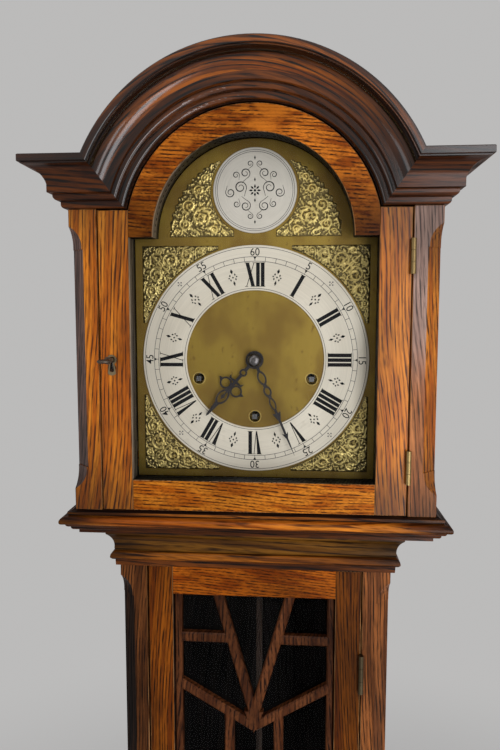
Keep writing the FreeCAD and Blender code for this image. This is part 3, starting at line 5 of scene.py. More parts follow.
import bpy
import numpy as np
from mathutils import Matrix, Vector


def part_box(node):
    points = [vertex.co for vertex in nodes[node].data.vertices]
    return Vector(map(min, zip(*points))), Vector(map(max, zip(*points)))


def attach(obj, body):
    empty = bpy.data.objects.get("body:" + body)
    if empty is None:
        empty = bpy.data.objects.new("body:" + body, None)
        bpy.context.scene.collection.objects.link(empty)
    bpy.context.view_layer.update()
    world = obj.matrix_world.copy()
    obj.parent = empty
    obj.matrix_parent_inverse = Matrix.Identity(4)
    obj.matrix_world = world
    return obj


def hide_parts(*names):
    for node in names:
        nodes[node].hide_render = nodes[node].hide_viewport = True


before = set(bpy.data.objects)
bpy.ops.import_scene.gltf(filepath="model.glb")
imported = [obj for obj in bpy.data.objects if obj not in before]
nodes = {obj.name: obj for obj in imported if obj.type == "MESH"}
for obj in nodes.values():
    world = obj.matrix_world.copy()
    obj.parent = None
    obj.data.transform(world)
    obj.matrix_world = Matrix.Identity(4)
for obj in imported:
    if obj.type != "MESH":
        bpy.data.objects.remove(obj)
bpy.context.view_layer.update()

# BASE
# The box that the clock stands on: a framed front with a fielded panel, two sides, a floor, a moulding round
# its head and a skirting round its foot. All of it is stained oak, glued, with grain along each board.
DIAL_Z = 1.5495
ARCH_Z = DIAL_Z + 0.1245
HOLLOW_SHADE_REACH = 0.012
SKIN = {"Colour": "Color", "Roughness": "Float", "Height": "Float"}


def node_in(tree, kind, feeds, **settings):
    """One node of a tree, with its settings, its plain values and the sockets that feed it."""
    node = tree.nodes.new(kind)
    for name, value in settings.items():
        setattr(node, name, value)
    for socket, value in feeds.items():
        if isinstance(value, bpy.types.NodeSocket):
            tree.links.new(value, node.inputs[socket])
        else:
            node.inputs[socket].default_value = value
    return node


def worked(tree, operation, *values):
    """One step of arithmetic between sockets and numbers."""
    return node_in(tree, "ShaderNodeMath", dict(enumerate(values)), operation=operation).outputs[0]


def cloud(tree, vector, counts, detail=2.0):
    """Soft noise from 0 to 1, with its own count of waves in a metre along each axis."""
    spread = node_in(tree, "ShaderNodeVectorMath", {0: vector, 1: counts}, operation="MULTIPLY").outputs[0]
    return node_in(tree, "ShaderNodeTexNoise", {"Vector": spread, "Scale": 1.0, "Detail": detail}).outputs[0]


def eased(tree, value, low, high):
    """Soft step from 0 at low to 1 at high."""
    feeds = {"Value": value, "From Min": low, "From Max": high}
    return node_in(tree, "ShaderNodeMapRange", feeds, interpolation_type="SMOOTHSTEP").outputs[0]


def blended(tree, factor, first, second):
    """Mix of two colours."""
    feeds = {0: factor, 6: first, 7: second}
    return node_in(tree, "ShaderNodeMix", feeds, data_type="RGBA").outputs[2]


def scaled(tree, colour, strength):
    """A colour, dimmed or raised by one number."""
    return node_in(tree, "ShaderNodeVectorMath", {0: colour, 3: strength}, operation="SCALE").outputs[0]


def slant(tree, one, other):
    """How long a line is that runs so far one way and so far square to it."""
    squares = worked(tree, "MULTIPLY_ADD", one, one, worked(tree, "MULTIPLY", other, other))
    return worked(tree, "SQRT", squares)


def own_place(tree):
    """The place of a point on the clock, in metres."""
    return node_in(tree, "ShaderNodeTexCoord", {}).outputs["Object"]


def parts_of(tree, vector):
    """The three numbers of a vector."""
    return node_in(tree, "ShaderNodeSeparateXYZ", {0: vector}).outputs[:3]


def new_tree(name, sort, inputs, outputs):
    """Node tree of a sort, with named sockets. Returns it with what enters it and what leaves it."""
    tree = bpy.data.node_groups.new(name, sort)
    for way, sockets in (("INPUT", inputs), ("OUTPUT", outputs)):
        for socket, kind in sockets.items():
            tree.interface.new_socket(socket, in_out=way, socket_type="NodeSocket" + kind)
    return tree, tree.nodes.new("NodeGroupInput").outputs, tree.nodes.new("NodeGroupOutput").inputs


def oak_group():
    """Sawn oak under stain: pores along the growth rings, finer pores between, pale streaks and flecks."""
    inputs = {"Grain": "Vector", "Dark": "Color", "Middle": "Color", "Light": "Color"}
    inputs |= {"Ring": "Float", "Short": "Float", "Fleck": "Float"}
    tree, enter, leave = new_tree("oak figure", "ShaderNodeTree", inputs, SKIN)
    grain = enter["Grain"]
    side, depth, along = parts_of(tree, grain)
    wander = worked(tree, "SUBTRACT", cloud(tree, grain, (11.0, 11.0, 4.0), 1.0), 0.5)
    side = worked(tree, "MULTIPLY_ADD", wander, 0.026, worked(tree, "MULTIPLY_ADD", along, 0.07, side))
    rings = worked(tree, "DIVIDE", slant(tree, side, depth), enter["Ring"])
    rings = worked(tree, "MULTIPLY_ADD", cloud(tree, grain, (150.0, 150.0, 9.0)), 1.3, rings)
    off_middle = worked(tree, "ABSOLUTE", worked(tree, "SUBTRACT", worked(tree, "FRACT", rings), 0.5))
    early = eased(tree, off_middle, 0.20, 0.42)
    drawn = {0: side, 1: depth, 2: worked(tree, "MULTIPLY", along, enter["Short"])}
    drawn = node_in(tree, "ShaderNodeCombineXYZ", drawn).outputs[0]
    broken = eased(tree, cloud(tree, drawn, (420.0, 420.0, 34.0)), 0.38, 0.60)
    line = worked(tree, "MULTIPLY", early, worked(tree, "MULTIPLY_ADD", broken, 0.80, 0.20))
    pore = eased(tree, cloud(tree, drawn, (760.0, 760.0, 60.0), 1.0), 0.48, 0.64)
    pore = worked(tree, "MULTIPLY", pore, worked(tree, "MULTIPLY_ADD", early, 0.30, 0.38))
    ray = eased(tree, cloud(tree, grain, (40.0, 40.0, 26.0), 1.0), 0.55, 0.66)
    ray = worked(tree, "MULTIPLY", ray, enter["Fleck"])
    dark = worked(tree, "MAXIMUM", line, pore)
    dark = worked(tree, "MULTIPLY", dark, worked(tree, "MULTIPLY_ADD", ray, -0.7, 1.0))
    streak = eased(tree, cloud(tree, drawn, (140.0, 140.0, 6.0)), 0.36, 0.62)
    pale = worked(tree, "MAXIMUM", streak, ray)
    mottle = cloud(tree, grain, (16.0, 16.0, 7.0))
    colour = blended(tree, pale, enter["Middle"], enter["Light"])
    colour = blended(tree, dark, colour, enter["Dark"])
    colour = scaled(tree, colour, worked(tree, "MULTIPLY_ADD", mottle, 2.2, -0.10))
    tree.links.new(colour, leave["Colour"])
    tree.links.new(worked(tree, "MULTIPLY_ADD", dark, 0.22, 0.34), leave["Roughness"])
    tree.links.new(worked(tree, "MULTIPLY_ADD", dark, -0.8, 1.0), leave["Height"])
    return tree


oak_figure = oak_group()


def grain_lines(tree, way):
    """A place on a board as (side, depth, along) its grain. A left board differs from a right one."""
    x, y, z = parts_of(tree, own_place(tree))
    hand = worked(tree, "MULTIPLY", worked(tree, "SIGN", x), 2.3)
    if way == "up":
        return worked(tree, "ABSOLUTE", x), y, worked(tree, "ADD", hand, z)
    if way == "across":
        return z, y, x
    if way == "deep":
        return z, worked(tree, "ABSOLUTE", x), worked(tree, "ADD", hand, y)
    rise = worked(tree, "SUBTRACT", z, ARCH_Z)
    return slant(tree, x, rise), y, worked(tree, "MULTIPLY", worked(tree, "ARCTAN2", x, rise), 0.15)


def skinned(name, group, values, bump, depth):
    """Material with a group's colour, roughness and height. Returns it with its tree and the group."""
    material = bpy.data.materials.new(name)
    material.use_nodes = True
    tree = material.node_tree
    skin = node_in(tree, "ShaderNodeGroup", {}, node_tree=group)
    for socket, value in values.items():
        skin.inputs[socket].default_value = value
    feeds = {"Height": skin.outputs["Height"], "Strength": bump, "Distance": depth}
    grit = node_in(tree, "ShaderNodeBump", feeds)
    shader = tree.nodes["Principled BSDF"]
    tree.links.new(skin.outputs["Colour"], shader.inputs["Base Color"])
    tree.links.new(skin.outputs["Roughness"], shader.inputs["Roughness"])
    tree.links.new(grit.outputs[0], shader.inputs["Normal"])
    return material, tree, skin


def oak(name, way, tones, pith, ring=0.0042, short=1.0, fleck=0.0,
        varnish=0.06, gloss=0.22, hollow_shade=0.0, shine=0.05):
    """Material of one kind of board. The pith is where its rings centre, beside and behind the face."""
    values = {tone: (*colour, 1.0) for tone, colour in zip(("Dark", "Middle", "Light"), tones)}
    values |= {"Ring": ring, "Short": short, "Fleck": fleck}
    material, tree, skin = skinned(name, oak_figure, values, 0.3, 0.0004)
    side, depth, along = grain_lines(tree, way)
    side = worked(tree, "SUBTRACT", side, pith[0])
    depth = worked(tree, "SUBTRACT", depth, pith[1])
    grain = node_in(tree, "ShaderNodeCombineXYZ", {0: side, 1: depth, 2: along}).outputs[0]
    tree.links.new(grain, skin.inputs["Grain"])
    shader = tree.nodes["Principled BSDF"]
    # Painted shade: the colour darkens in the piece's own hollows and creases, by ambient occlusion.
    if hollow_shade:
        feeds = {"Distance": HOLLOW_SHADE_REACH}
        air = node_in(tree, "ShaderNodeAmbientOcclusion", feeds, samples=6, only_local=True).outputs["AO"]
        shade = worked(tree, "MULTIPLY_ADD", eased(tree, air, 0.30, 0.95), hollow_shade, 1.0 - hollow_shade)
        tree.links.new(scaled(tree, skin.outputs["Colour"], shade), shader.inputs["Base Color"])
    shader.inputs["Specular IOR Level"].default_value = shine
    shader.inputs["Coat Weight"].default_value = varnish
    shader.inputs["Coat Roughness"].default_value = gloss
    return material


def gathered(material, measure, bare, thick, least):
    """Darkens a finish along a measure, from none at the bare value to the full amount at the thick one.

    What is left there is the least share, as one number or as one each for red, green and blue.
    """
    tree = material.node_tree
    shader = tree.nodes["Principled BSDF"]
    darkening = eased(tree, measure(tree, *parts_of(tree, own_place(tree))), bare, thick)
    loss = tuple(np.broadcast_to(least, 3) - 1.0)
    feeds = {0: darkening, 1: loss, 2: (1.0, 1.0, 1.0)}
    share = node_in(tree, "ShaderNodeVectorMath", feeds, operation="MULTIPLY_ADD").outputs[0]
    plain = shader.inputs["Base Color"].links[0].from_socket
    toned = node_in(tree, "ShaderNodeVectorMath", {0: plain, 1: share}, operation="MULTIPLY").outputs[0]
    tree.links.new(toned, shader.inputs["Base Color"])
    return material


def how_far_right(tree, x, y, z):
    """Measure across the case, from left to right."""
    return x


def how_deep(tree, x, y, z):
    """Measure from the front of the case to its back."""
    return y


def how_high(tree, x, y, z):
    """Measure of height."""
    return z


def off_centre(tree, x, y, z):
    """Measure of how far a point lies to either side of the middle."""
    return worked(tree, "ABSOLUTE", x)


def dress(node, materials, choose=None):
    """Gives a solid its finishes. choose picks one for each face from its middle and its direction."""
    mesh = nodes[node].data
    mesh.materials.clear()
    for material in materials:
        mesh.materials.append(material)
    for face in mesh.polygons:
        face.material_index = choose(face.center, face.normal) if choose else 0


def mitred(half, front):
    """Picks the second finish for the side returns of a moulding that is mitred at its corners."""
    return lambda middle, facing: int(abs(middle.x) - half > front - middle.y)


UMBER = ((0.006, 0.003, 0.002), (0.045, 0.011, 0.002), (0.130, 0.034, 0.005))
TRUNK = ((0.045, 0.010, 0.001), (0.270, 0.050, 0.002), (0.460, 0.110, 0.006))
POSTS = ((0.008, 0.003, 0.001), (0.060, 0.014, 0.002), (0.190, 0.050, 0.006))
SIDES = ((0.022, 0.006, 0.001), (0.150, 0.034, 0.003), (0.310, 0.085, 0.008))


def moulded(name, way, tones=UMBER, hollow_shade=0.85, varnish=0.16, shine=0.06):
    """Oak of a moulding: stained deeper than the boards, with the most polish and with painted shade in its
    hollows.
    """
    return oak(name, way, tones, (1.0, 0.3), 0.005, 0.8, varnish=varnish, gloss=0.20, hollow_shade=hollow_shade, shine=shine)


moulding_across = moulded("moulding oak across", "across")
moulding_deep = moulded("moulding oak deep", "deep", varnish=0.0, shine=0.03)
trunk_up = oak("trunk oak up", "up", POSTS, (-0.15, -0.05), 0.0034)
trunk_across = oak("trunk oak across", "across", TRUNK, (1.80, -0.04), 0.0032, 4.0)
side_up = oak("side board oak", "up", SIDES, (0.12, 0.16), 0.0036, varnish=0.0, shine=0.03)
panel_up = oak("panel oak", "up", TRUNK, (0.02, 0.05), 0.0050)
plain_across = oak("plain oak across", "across", TRUNK, (0.3, 0.05), varnish=0.0)
BASE_CORNER = (0.174, -0.101)
TRUNK_CORNER = (0.144, -0.071)
BASE_STILE = 0.132
dress("base_skirting", [moulding_across, moulding_deep], mitred(*BASE_CORNER))
dress("base_moulding", [moulding_across, moulding_deep], mitred(*TRUNK_CORNER))
dress("base_frame", [trunk_across, trunk_up], lambda middle, facing: int(abs(middle.x) > BASE_STILE))
dress("base_panel", [panel_up])
dress("base_sides", [side_up])
dress("base_floor", [plain_across])

# TRUNK AND BACK BOARD
# The waist of the case, glued from oak: chamfered posts between rails, two sides, a shelf for the movement
# and the moulding that carries the hood. The back board is screwed on, and its inside is near-black, as
# painted shade.
INSIDE_SHADE = ((0.002, 0.002, 0.002), (0.006, 0.005, 0.005), (0.010, 0.008, 0.007))
BARE = ((0.070, 0.035, 0.015), (0.210, 0.115, 0.050), (0.300, 0.180, 0.085))
WORN_AND_LIT = ((0.060, 0.020, 0.005), (0.200, 0.085, 0.025), (0.360, 0.180, 0.070))
TRUNK_SHADED_CHAMFER = ((0.002, 0.001, 0.001), (0.010, 0.004, 0.002), (0.030, 0.011, 0.004))
POST_FACES = ((0.022, 0.009, 0.004), (0.130, 0.040, 0.011), (0.310, 0.100, 0.026))
POST_EDGE = 0.1152
CHAMFER_EDGE = 0.128
# Painted shade: the chamfers on the left of the trunk's posts are near-black; those on the right keep the
# posts' finish.
shaded_chamfer_up = oak("trunk shaded chamfer oak", "up", TRUNK_SHADED_CHAMFER, (-0.15, -0.05), 0.0034, varnish=0.0, shine=0.02)
# Lighter arrises: wear on the edges, and a painted highlight where they catch the light.
worn_lit_arris = oak("worn arris with painted highlight", "up", WORN_AND_LIT, (0.10, 0.02))
# Painted shade: the inside faces of the trunk and the front of the back board are near-black, where little
# light reaches.
inside_shade_up = oak("inside painted shade", "up", INSIDE_SHADE, (0.10, 0.02), varnish=0.0, shine=0.02)
back_up = oak("back board oak", "up", BARE, (0.05, 0.22), 0.0050, varnish=0.0)
post_up = oak("trunk post oak", "up", POST_FACES, (-0.15, -0.05), 0.0034)
post_up = gathered(post_up, how_far_right, 0.10, -0.10, 0.50)


def oblique(facing):
    """A face that was cut at a slant to the case, such as a chamfer."""
    return max(abs(facing.x), abs(facing.y), abs(facing.z)) < 0.95


def post_finish(middle, facing):
    """Rails, posts, shaded chamfer, inside in painted shade and worn arrises with painted highlight of the
    trunk's front, in that order.
    """
    if facing.y > 0.5:
        return 3
    if oblique(facing):
        return 4 if abs(middle.x) < CHAMFER_EDGE else 2 - int(middle.x > 0)
    return 0 if abs(middle.x) < POST_EDGE else 1


dress("trunk_frame", [trunk_across, post_up, shaded_chamfer_up, inside_shade_up, worn_lit_arris], post_finish)
dress("trunk_sides", [side_up, inside_shade_up], lambda middle, facing: int(facing.x * middle.x < -0.01))
dress("back_board", [back_up, inside_shade_up], lambda middle, facing: int(facing.y < -0.5))
dress("seat_board", [plain_across])


def banded(half, front, heights):
    """Picks a moulding's finish by height, band by band, and then the same again for its side returns."""
    side = mitred(half, front)
    bands = len(heights) + 1
    return lambda middle, facing: sum(middle.z < height for height in heights) + bands * side(middle, facing)


COVE = ((0.020, 0.007, 0.001), (0.090, 0.030, 0.002), (0.190, 0.076, 0.008))
BEAD = ((0.020, 0.006, 0.002), (0.140, 0.036, 0.003), (0.330, 0.100, 0.010))
cove_across = gathered(moulded("waist cove oak", "across", COVE, 0.5), off_centre, 0.07, 0.15, 0.35)
bead_across = gathered(moulded("waist bead oak", "across", BEAD, 0.6), off_centre, 0.09, 0.15, 0.30)
waist_bands = [cove_across, moulding_across, bead_across, moulding_across]
waist_heights = [DIAL_Z - drop for drop in (0.2028, 0.2042, 0.2118)]
dress("waist_moulding", waist_bands + [moulding_deep] * 4, banded(*TRUNK_CORNER, waist_heights))


def metal_group():
    """Drawn or turned metal: fine lines along the last axis, broad tarnish and small dark spots."""
    inputs = {"Lines": "Vector", "Bright": "Color", "Tarnish": "Color", "Age": "Float", "Smooth": "Float"}
    tree, enter, leave = new_tree("worked metal", "ShaderNodeTree", inputs, SKIN)
    place = enter["Lines"]
    lines = cloud(tree, place, (2400.0, 2400.0, 40.0), 1.0)
    broad = eased(tree, cloud(tree, place, (28.0, 28.0, 20.0), 3.0), 0.36, 0.66)
    spots = eased(tree, cloud(tree, place, (190.0, 190.0, 150.0), 2.0), 0.60, 0.72)
    aged = worked(tree, "MULTIPLY", worked(tree, "MAXIMUM", broad, spots), enter["Age"])
    colour = blended(tree, aged, enter["Bright"], enter["Tarnish"])
    tree.links.new(scaled(tree, colour, worked(tree, "MULTIPLY_ADD", lines, 0.28, 0.86)), leave["Colour"])
    dull = worked(tree, "MULTIPLY_ADD", aged, 0.16, enter["Smooth"])
    tree.links.new(worked(tree, "MULTIPLY_ADD", lines, 0.10, dull), leave["Roughness"])
    tree.links.new(lines, leave["Height"])
    return tree


worked_metal = metal_group()


def metal(name, bright, tarnish, age=0.4, smooth=0.25, turned=None, bump=0.06, metallic=1.0, shine=0.5):
    """Metal with its lines up and down, or round a point (x, z) where it was turned in a lathe."""
    values = {"Bright": (*bright, 1.0), "Tarnish": (*tarnish, 1.0), "Age": age, "Smooth": smooth}
    material, tree, skin = skinned(name, worked_metal, values, bump, 0.0001)
    lines = own_place(tree)
    if turned:
        x, y, z = parts_of(tree, lines)
        x = worked(tree, "SUBTRACT", x, turned[0])
        z = worked(tree, "SUBTRACT", z, turned[1])
        along = worked(tree, "MULTIPLY", worked(tree, "ARCTAN2", x, z), 0.05)
        lines = node_in(tree, "ShaderNodeCombineXYZ", {0: slant(tree, x, z), 1: y, 2: along}).outputs[0]
    tree.links.new(lines, skin.inputs["Lines"])
    shader = tree.nodes["Principled BSDF"]
    shader.inputs["Metallic"].default_value = metallic
    shader.inputs["Specular IOR Level"].default_value = shine
    return material


fittings_brass = metal("fittings brass", (0.30, 0.21, 0.085), (0.11, 0.070, 0.032), 0.7, 0.30)
steel = metal("steel", (0.42, 0.41, 0.40), (0.20, 0.18, 0.16), 0.5, 0.30)
dull_brass = metal("dull brass", (0.105, 0.080, 0.045), (0.045, 0.032, 0.018), 0.6, 0.34)
dress("trunk_hinge_post_leaves", [dull_brass])


def prisms(outlines, front, back):
    """Closed flat solids from outlines (x, z), drawn counter-clockwise as seen from the front."""
    vertices = []
    faces = []
    for outline in outlines:
        first, count = len(vertices), len(outline)
        vertices += [(x, front, z) for x, z in outline] + [(x, back, z) for x, z in outline]
        faces.append(list(range(first, first + count)))
        faces.append(list(range(first + 2 * count - 1, first + count - 1, -1)))
        for step in range(count):
            here, after = first + step, first + (step + 1) % count
            faces.append([after, here, here + count, after + count])
    return vertices, faces


def new_piece(name, shape, material, smooth=False):
    """Piece at the origin, with its place in its mesh."""
    vertices, faces = shape
    mesh = bpy.data.meshes.new(name)
    mesh.from_pydata(vertices, [], faces)
    mesh.materials.append(material)
    mesh.polygons.foreach_set("use_smooth", [smooth] * len(mesh.polygons))
    thing = bpy.data.objects.new(name, mesh)
    bpy.context.scene.collection.objects.link(thing)
    return thing


def fitted(thing, body):
    """Fixes a finished piece to a body."""
    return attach(thing, body)


def arc(x, z, radius, first, last, steps):
    """Points on a circle, by angles in degrees from the +X side."""
    turns = [math.radians(first + (last - first) * step / steps) for step in range(steps + 1)]
    return [(x + radius * math.cos(turn), z + radius * math.sin(turn)) for turn in turns]


def slotted_head(radius, rise):
    """Screw head that faces +Y and stands on y 0: a disc with two half rounds and a slot between them."""
    disc, disc_faces = prisms([arc(0, 0, radius, 0, 337.5, 15)], 0.0, rise * 0.5)
    lip = math.degrees(math.asin(0.16))
    halves = [arc(0, 0, radius * 0.94, turn + lip, turn + 180 - lip, 8) for turn in (0, 180)]
    crown, crown_faces = prisms(halves, rise * 0.5, rise)
    return disc + crown, disc_faces + [[corner + len(disc) for corner in face] for face in crown_faces]


MADE = {"Made": "Geometry"}


def repeated(tree, pattern, count, place, turn, material):
    """Ends a tree: the pattern on a count of points, placed and turned, made real, with its finish."""
    points = node_in(tree, "GeometryNodePoints", {"Count": count}).outputs[0]
    placed = node_in(tree, "GeometryNodeSetPosition", {"Geometry": points, "Position": place}).outputs[0]
    feeds = {"Points": placed, "Instance": pattern}
    if turn:
        feeds["Rotation"] = turn
    copies = node_in(tree, "GeometryNodeInstanceOnPoints", feeds).outputs[0]
    whole = node_in(tree, "GeometryNodeRealizeInstances", {"Geometry": copies}).outputs[0]
    return node_in(tree, "GeometryNodeSetMaterial", {"Geometry": whole, "Material": material}).outputs[0]


def screw_rows():
    """Geometry Nodes: a screw head on each point of a grid of columns and rows."""
    inputs = {"Screw": "Geometry", "Columns": "Int", "Rows": "Int", "First": "Vector", "Apart": "Vector"}
    tree, enter, leave = new_tree("screw rows", "GeometryNodeTree", inputs | {"Metal": "Material"}, MADE)
    count = worked(tree, "MULTIPLY", enter["Columns"], enter["Rows"])
    index = tree.nodes.new("GeometryNodeInputIndex").outputs[0]
    column = worked(tree, "MODULO", index, enter["Columns"])
    row = worked(tree, "FLOOR", worked(tree, "DIVIDE", worked(tree, "ADD", index, 0.5), enter["Columns"]))
    steps = node_in(tree, "ShaderNodeCombineXYZ", {0: column, 2: row}).outputs[0]
    feeds = {0: steps, 1: enter["Apart"], 2: enter["First"]}
    place = node_in(tree, "ShaderNodeVectorMath", feeds, operation="MULTIPLY_ADD").outputs[0]
    tree.links.new(repeated(tree, enter["Screw"], count, place, None, enter["Metal"]), leave[0])
    return tree


def settled(thing, tree, values):
    """Runs a node tree on a piece and keeps what it makes as the piece's plain mesh."""
    layer = thing.modifiers.new(tree.name, "NODES")
    layer.node_group = tree
    for socket in tree.interface.items_tree:
        if socket.in_out == "INPUT" and socket.name in values:
            layer[socket.identifier] = values[socket.name]
    graph = bpy.context.evaluated_depsgraph_get()
    made = bpy.data.meshes.new_from_object(thing.evaluated_get(graph))
    thing.modifiers.clear()
    thing.data = made
    return thing


SCREW_RADIUS, SCREW_RISE, SCREW_SINK = 0.0045, 0.0016, 0.0002
back_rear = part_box("back_board")[1].y
back_screws = new_piece("back_board_screws", slotted_head(SCREW_RADIUS, SCREW_RISE), steel)
first_screw = (-0.134, back_rear - SCREW_SINK, 0.50)
rows = {"Columns": 2, "Rows": 6, "First": first_screw, "Apart": (0.268, 0.0, 0.155)}
fitted(settled(back_screws, screw_rows(), rows | {"Metal": steel}), "case")

# MOVEMENT
# A spring-driven movement of three trains between brass plates on pillars: drums, winding arbors, the going
# train, the anchor and the motion work behind the dial. Its wheels are brass, its pinions and arbors steel.
BRASS_BRIGHT = (0.60, 0.41, 0.13)
BRASS_AGED = (0.33, 0.20, 0.06)
plate_brass = metal("movement plate brass", BRASS_BRIGHT, BRASS_AGED, 0.5, 0.26)
for node in ("movement_front_plate", "movement_back_plate", "spring_barrels"):
    dress(node, [plate_brass])


def wheel_finish(node, x, lift, core, grey=0.45):
    """Brass wheel with steel within the radius of its pinion or arbor."""
    z = DIAL_Z + lift
    brass = metal(node + " brass", BRASS_BRIGHT, BRASS_AGED, 0.3, 0.20, (x, z))
    core_steel = metal(node + " steel", (grey,) * 3, (0.5 * grey,) * 3, 0.4, 0.22, (x, z))

    def near_axis(middle, facing):
        """Picks the steel for what is close to the axis."""
        return int(math.hypot(middle.x - x, middle.z - z) < core)

    dress(node, [brass, core_steel], near_axis)


wheel_finish("centre_arbor", 0.0, 0.0, 0.0045)
wheel_finish("third_wheel", 0.01154, 0.02374, 0.0035)
wheel_finish("escape_wheel", 0.0, 0.042, 0.0035)
wheel_finish("minute_wheel", -0.01273, 0.01273, 0.0048)
wheel_finish("hour_wheel", 0.0, 0.0, 0.0)
wheel_finish("cannon_pinion", 0.0, 0.0, 0.02)
WINDING = {"strike": (-0.060, -0.0205), "chime": (0.060, -0.0205), "going": (0.0, -0.061)}
for train, (x, lift) in WINDING.items():
    wheel_finish(train + "_winding_arbor", x, lift, 0.0046, 0.15)
dress("pallet_anchor", [steel])

# PENDULUM AND GONG
# A wooden rod with a brass-faced bob and a rating nut hangs from a cock on the back plate. Behind it a rod
# gong is screwed to the back board, and hammers strike its rods.
ROD_OAK = ((0.010, 0.006, 0.004), (0.034, 0.020, 0.013), (0.055, 0.034, 0.024))
BOB_Z = 0.9795
bob_brass = metal("bob brass", (0.66, 0.46, 0.16), (0.36, 0.22, 0.07), 0.35, 0.16, (0.0, BOB_Z))
dress("pendulum_rod", [oak("pendulum rod oak", "up", ROD_OAK, (0.05, 0.02), 0.0022, 0.4, varnish=0.2)])
dress("pendulum_bob", [bob_brass])
dress("pendulum_cock", [plate_brass])
dress("rod_gong", [metal("gong steel", (0.085, 0.080, 0.080), (0.040, 0.036, 0.034), 0.6, 0.40)])
dress("chime_hammers", [steel])

# DIAL PLATE
# Arched sheet of brass on four feet. Its face was rubbed up and down, then lacquered, and has since gone
# olive, with brown stains in the middle, where hands have wiped it.
OLIVE = (0.250, 0.163, 0.022)
STAIN = (0.150, 0.084, 0.011)
plate_finish = metal("dial plate brass", OLIVE, STAIN, 0.8, 0.36, bump=0.10, metallic=0.6)
plate_finish = gathered(plate_finish, how_high, DIAL_Z, DIAL_Z - 0.080, 0.82)
dress("dial_plate", [plate_finish])

# SPANDRELS
# Six castings of volutes and acanthus leaves, in a traditional pattern, screwed to the corners of the dial
# and beside the boss in its arch. They are brass, with bright tops and dark hollows.
MM = 0.001
PLATE_FACE = -0.047
RELIEF_GRID = 0.62
SUNK = -0.6
GROUND = 0.6
LEAF_STEPS = 13
WOUND_IN = 0.80
CAST_FOOT = 0.0012
HOLLOW_HEAD, HOLLOW_FOOT = 0.0019, 0.0007
RUBBED = (0.690, 0.540, 0.190)
DULLED = (0.465, 0.330, 0.096)
HOLLOWS = (0.125, 0.090, 0.028, 1.0)
chance = np.random.default_rng(7)


def leaf(x, z, heading, length, width, bend=0.0, top=2.2):
    """Leaf from a point along a heading in degrees, as a stroke: middle line, half widths, rise, groove."""
    share = np.linspace(0.0, 1.0, LEAF_STEPS + 1)
    turn = np.radians(heading + bend * share)
    step = length / LEAF_STEPS
    points = np.stack([x + np.cumsum(np.cos(turn)) * step, z + np.cumsum(np.sin(turn)) * step], axis=1)
    widths = width * np.sin(np.pi * (0.15 + 0.80 * share)) ** 0.7
    return points, widths, top, 0.55


def volute(x, z, radius, first, turns, hand, width, top=2.9):
    """Scroll that winds in to an eye, with small leaves on its outside. Returns a list of strokes."""
    share = np.linspace(0.0, 1.0, int(34 * turns))
    turn = np.radians(first) + hand * share * turns * 2 * math.pi
    reach = radius * (1.0 - WOUND_IN * share)
    points = np.stack([x + reach * np.cos(turn), z + reach * np.sin(turn)], axis=1)
    strokes = [(points, width * (1.0 - 0.40 * share), top, 0.45)]
    strokes.append((points[-1:], np.array([width * 1.25]), top + 0.3, 0.0))
    for angle in range(20, int(300 * min(turns, 1.2)), 38):
        way = math.radians(first + hand * angle)
        edge = radius * (1.0 - WOUND_IN * angle / (360 * turns))
        start = (x + edge * math.cos(way), z + edge * math.sin(way))
        heading = math.degrees(way) + hand * 48
        strokes.append(leaf(*start, heading, radius * 0.45, width * 0.95, hand * 90, top - 0.5))
    return strokes


def swapped(stroke):
    """The same stroke on the other side of the corner's diagonal."""
    points, widths, top, groove = stroke
    return points[:, ::-1], widths, top, groove


def relief(strokes, xs, zs):
    """Height of the casting over the plate, in millimetres, as the highest of all strokes at each point."""
    height = np.full((len(xs), len(zs)), -9.0)
    for points, widths, top, groove in strokes:
        reach = 1.5 * widths.max()
        low, high = points.min(0) - reach, points.max(0) + reach
        across = slice(*np.searchsorted(xs, (low[0], high[0])))
        up = slice(*np.searchsorted(zs, (low[1], high[1])))
        if xs[across].size and zs[up].size:
            gap_x = xs[across][None, :, None] - points[:, 0, None, None]
            gap_z = zs[up][None, None, :] - points[:, 1, None, None]
            near = ((gap_x**2 + gap_z**2) / widths[:, None, None] ** 2).min(0)
            rise = top * (1.0 - near) - groove * np.exp(-near / 0.05)
            height[across, up] = np.maximum(height[across, up], rise)
    return height


def filled(strokes, inside, xs, zs, tries, twin):
    """Adds small leaves, curled by chance, where the ground still shows. twin mirrors each leaf."""
    taken = []
    height = relief(strokes, xs, zs)
    for x, z, twist, size in chance.uniform(0.0, 1.0, (tries, 4)):
        x, z = xs[0] + x * (xs[-1] - xs[0]), zs[0] + z * (zs[-1] - zs[0])
        spot = height[np.searchsorted(xs, x) - 1, np.searchsorted(zs, z) - 1]
        apart = min([math.hypot(x - a, z - b) for a, b in taken], default=99.0)
        if inside(x, z) > 0.9 and spot < 0.7 and apart > 2.0:
            taken.append((x, z))
            heading = math.degrees(math.atan2(z, x)) + 90 + 200 * (twist - 0.5)
            length, width, top = 1.6 + 2.4 * size, 0.85 + 0.45 * size, 1.5 + 1.3 * size
            sprig = leaf(x, z, heading, length, width, 330 * (twist - 0.5), top)
            strokes.append(sprig)
            if twin:
                strokes.append(swapped(sprig))
    return strokes


def cast_height(strokes, inside, xs, zs):
    """Height field of a casting: its strokes on a thin ground, falling away at its outline."""
    edge = inside(*np.meshgrid(xs, zs, indexing="ij"))
    return np.minimum(np.maximum(relief(strokes, xs, zs), GROUND), 2.2 * edge)


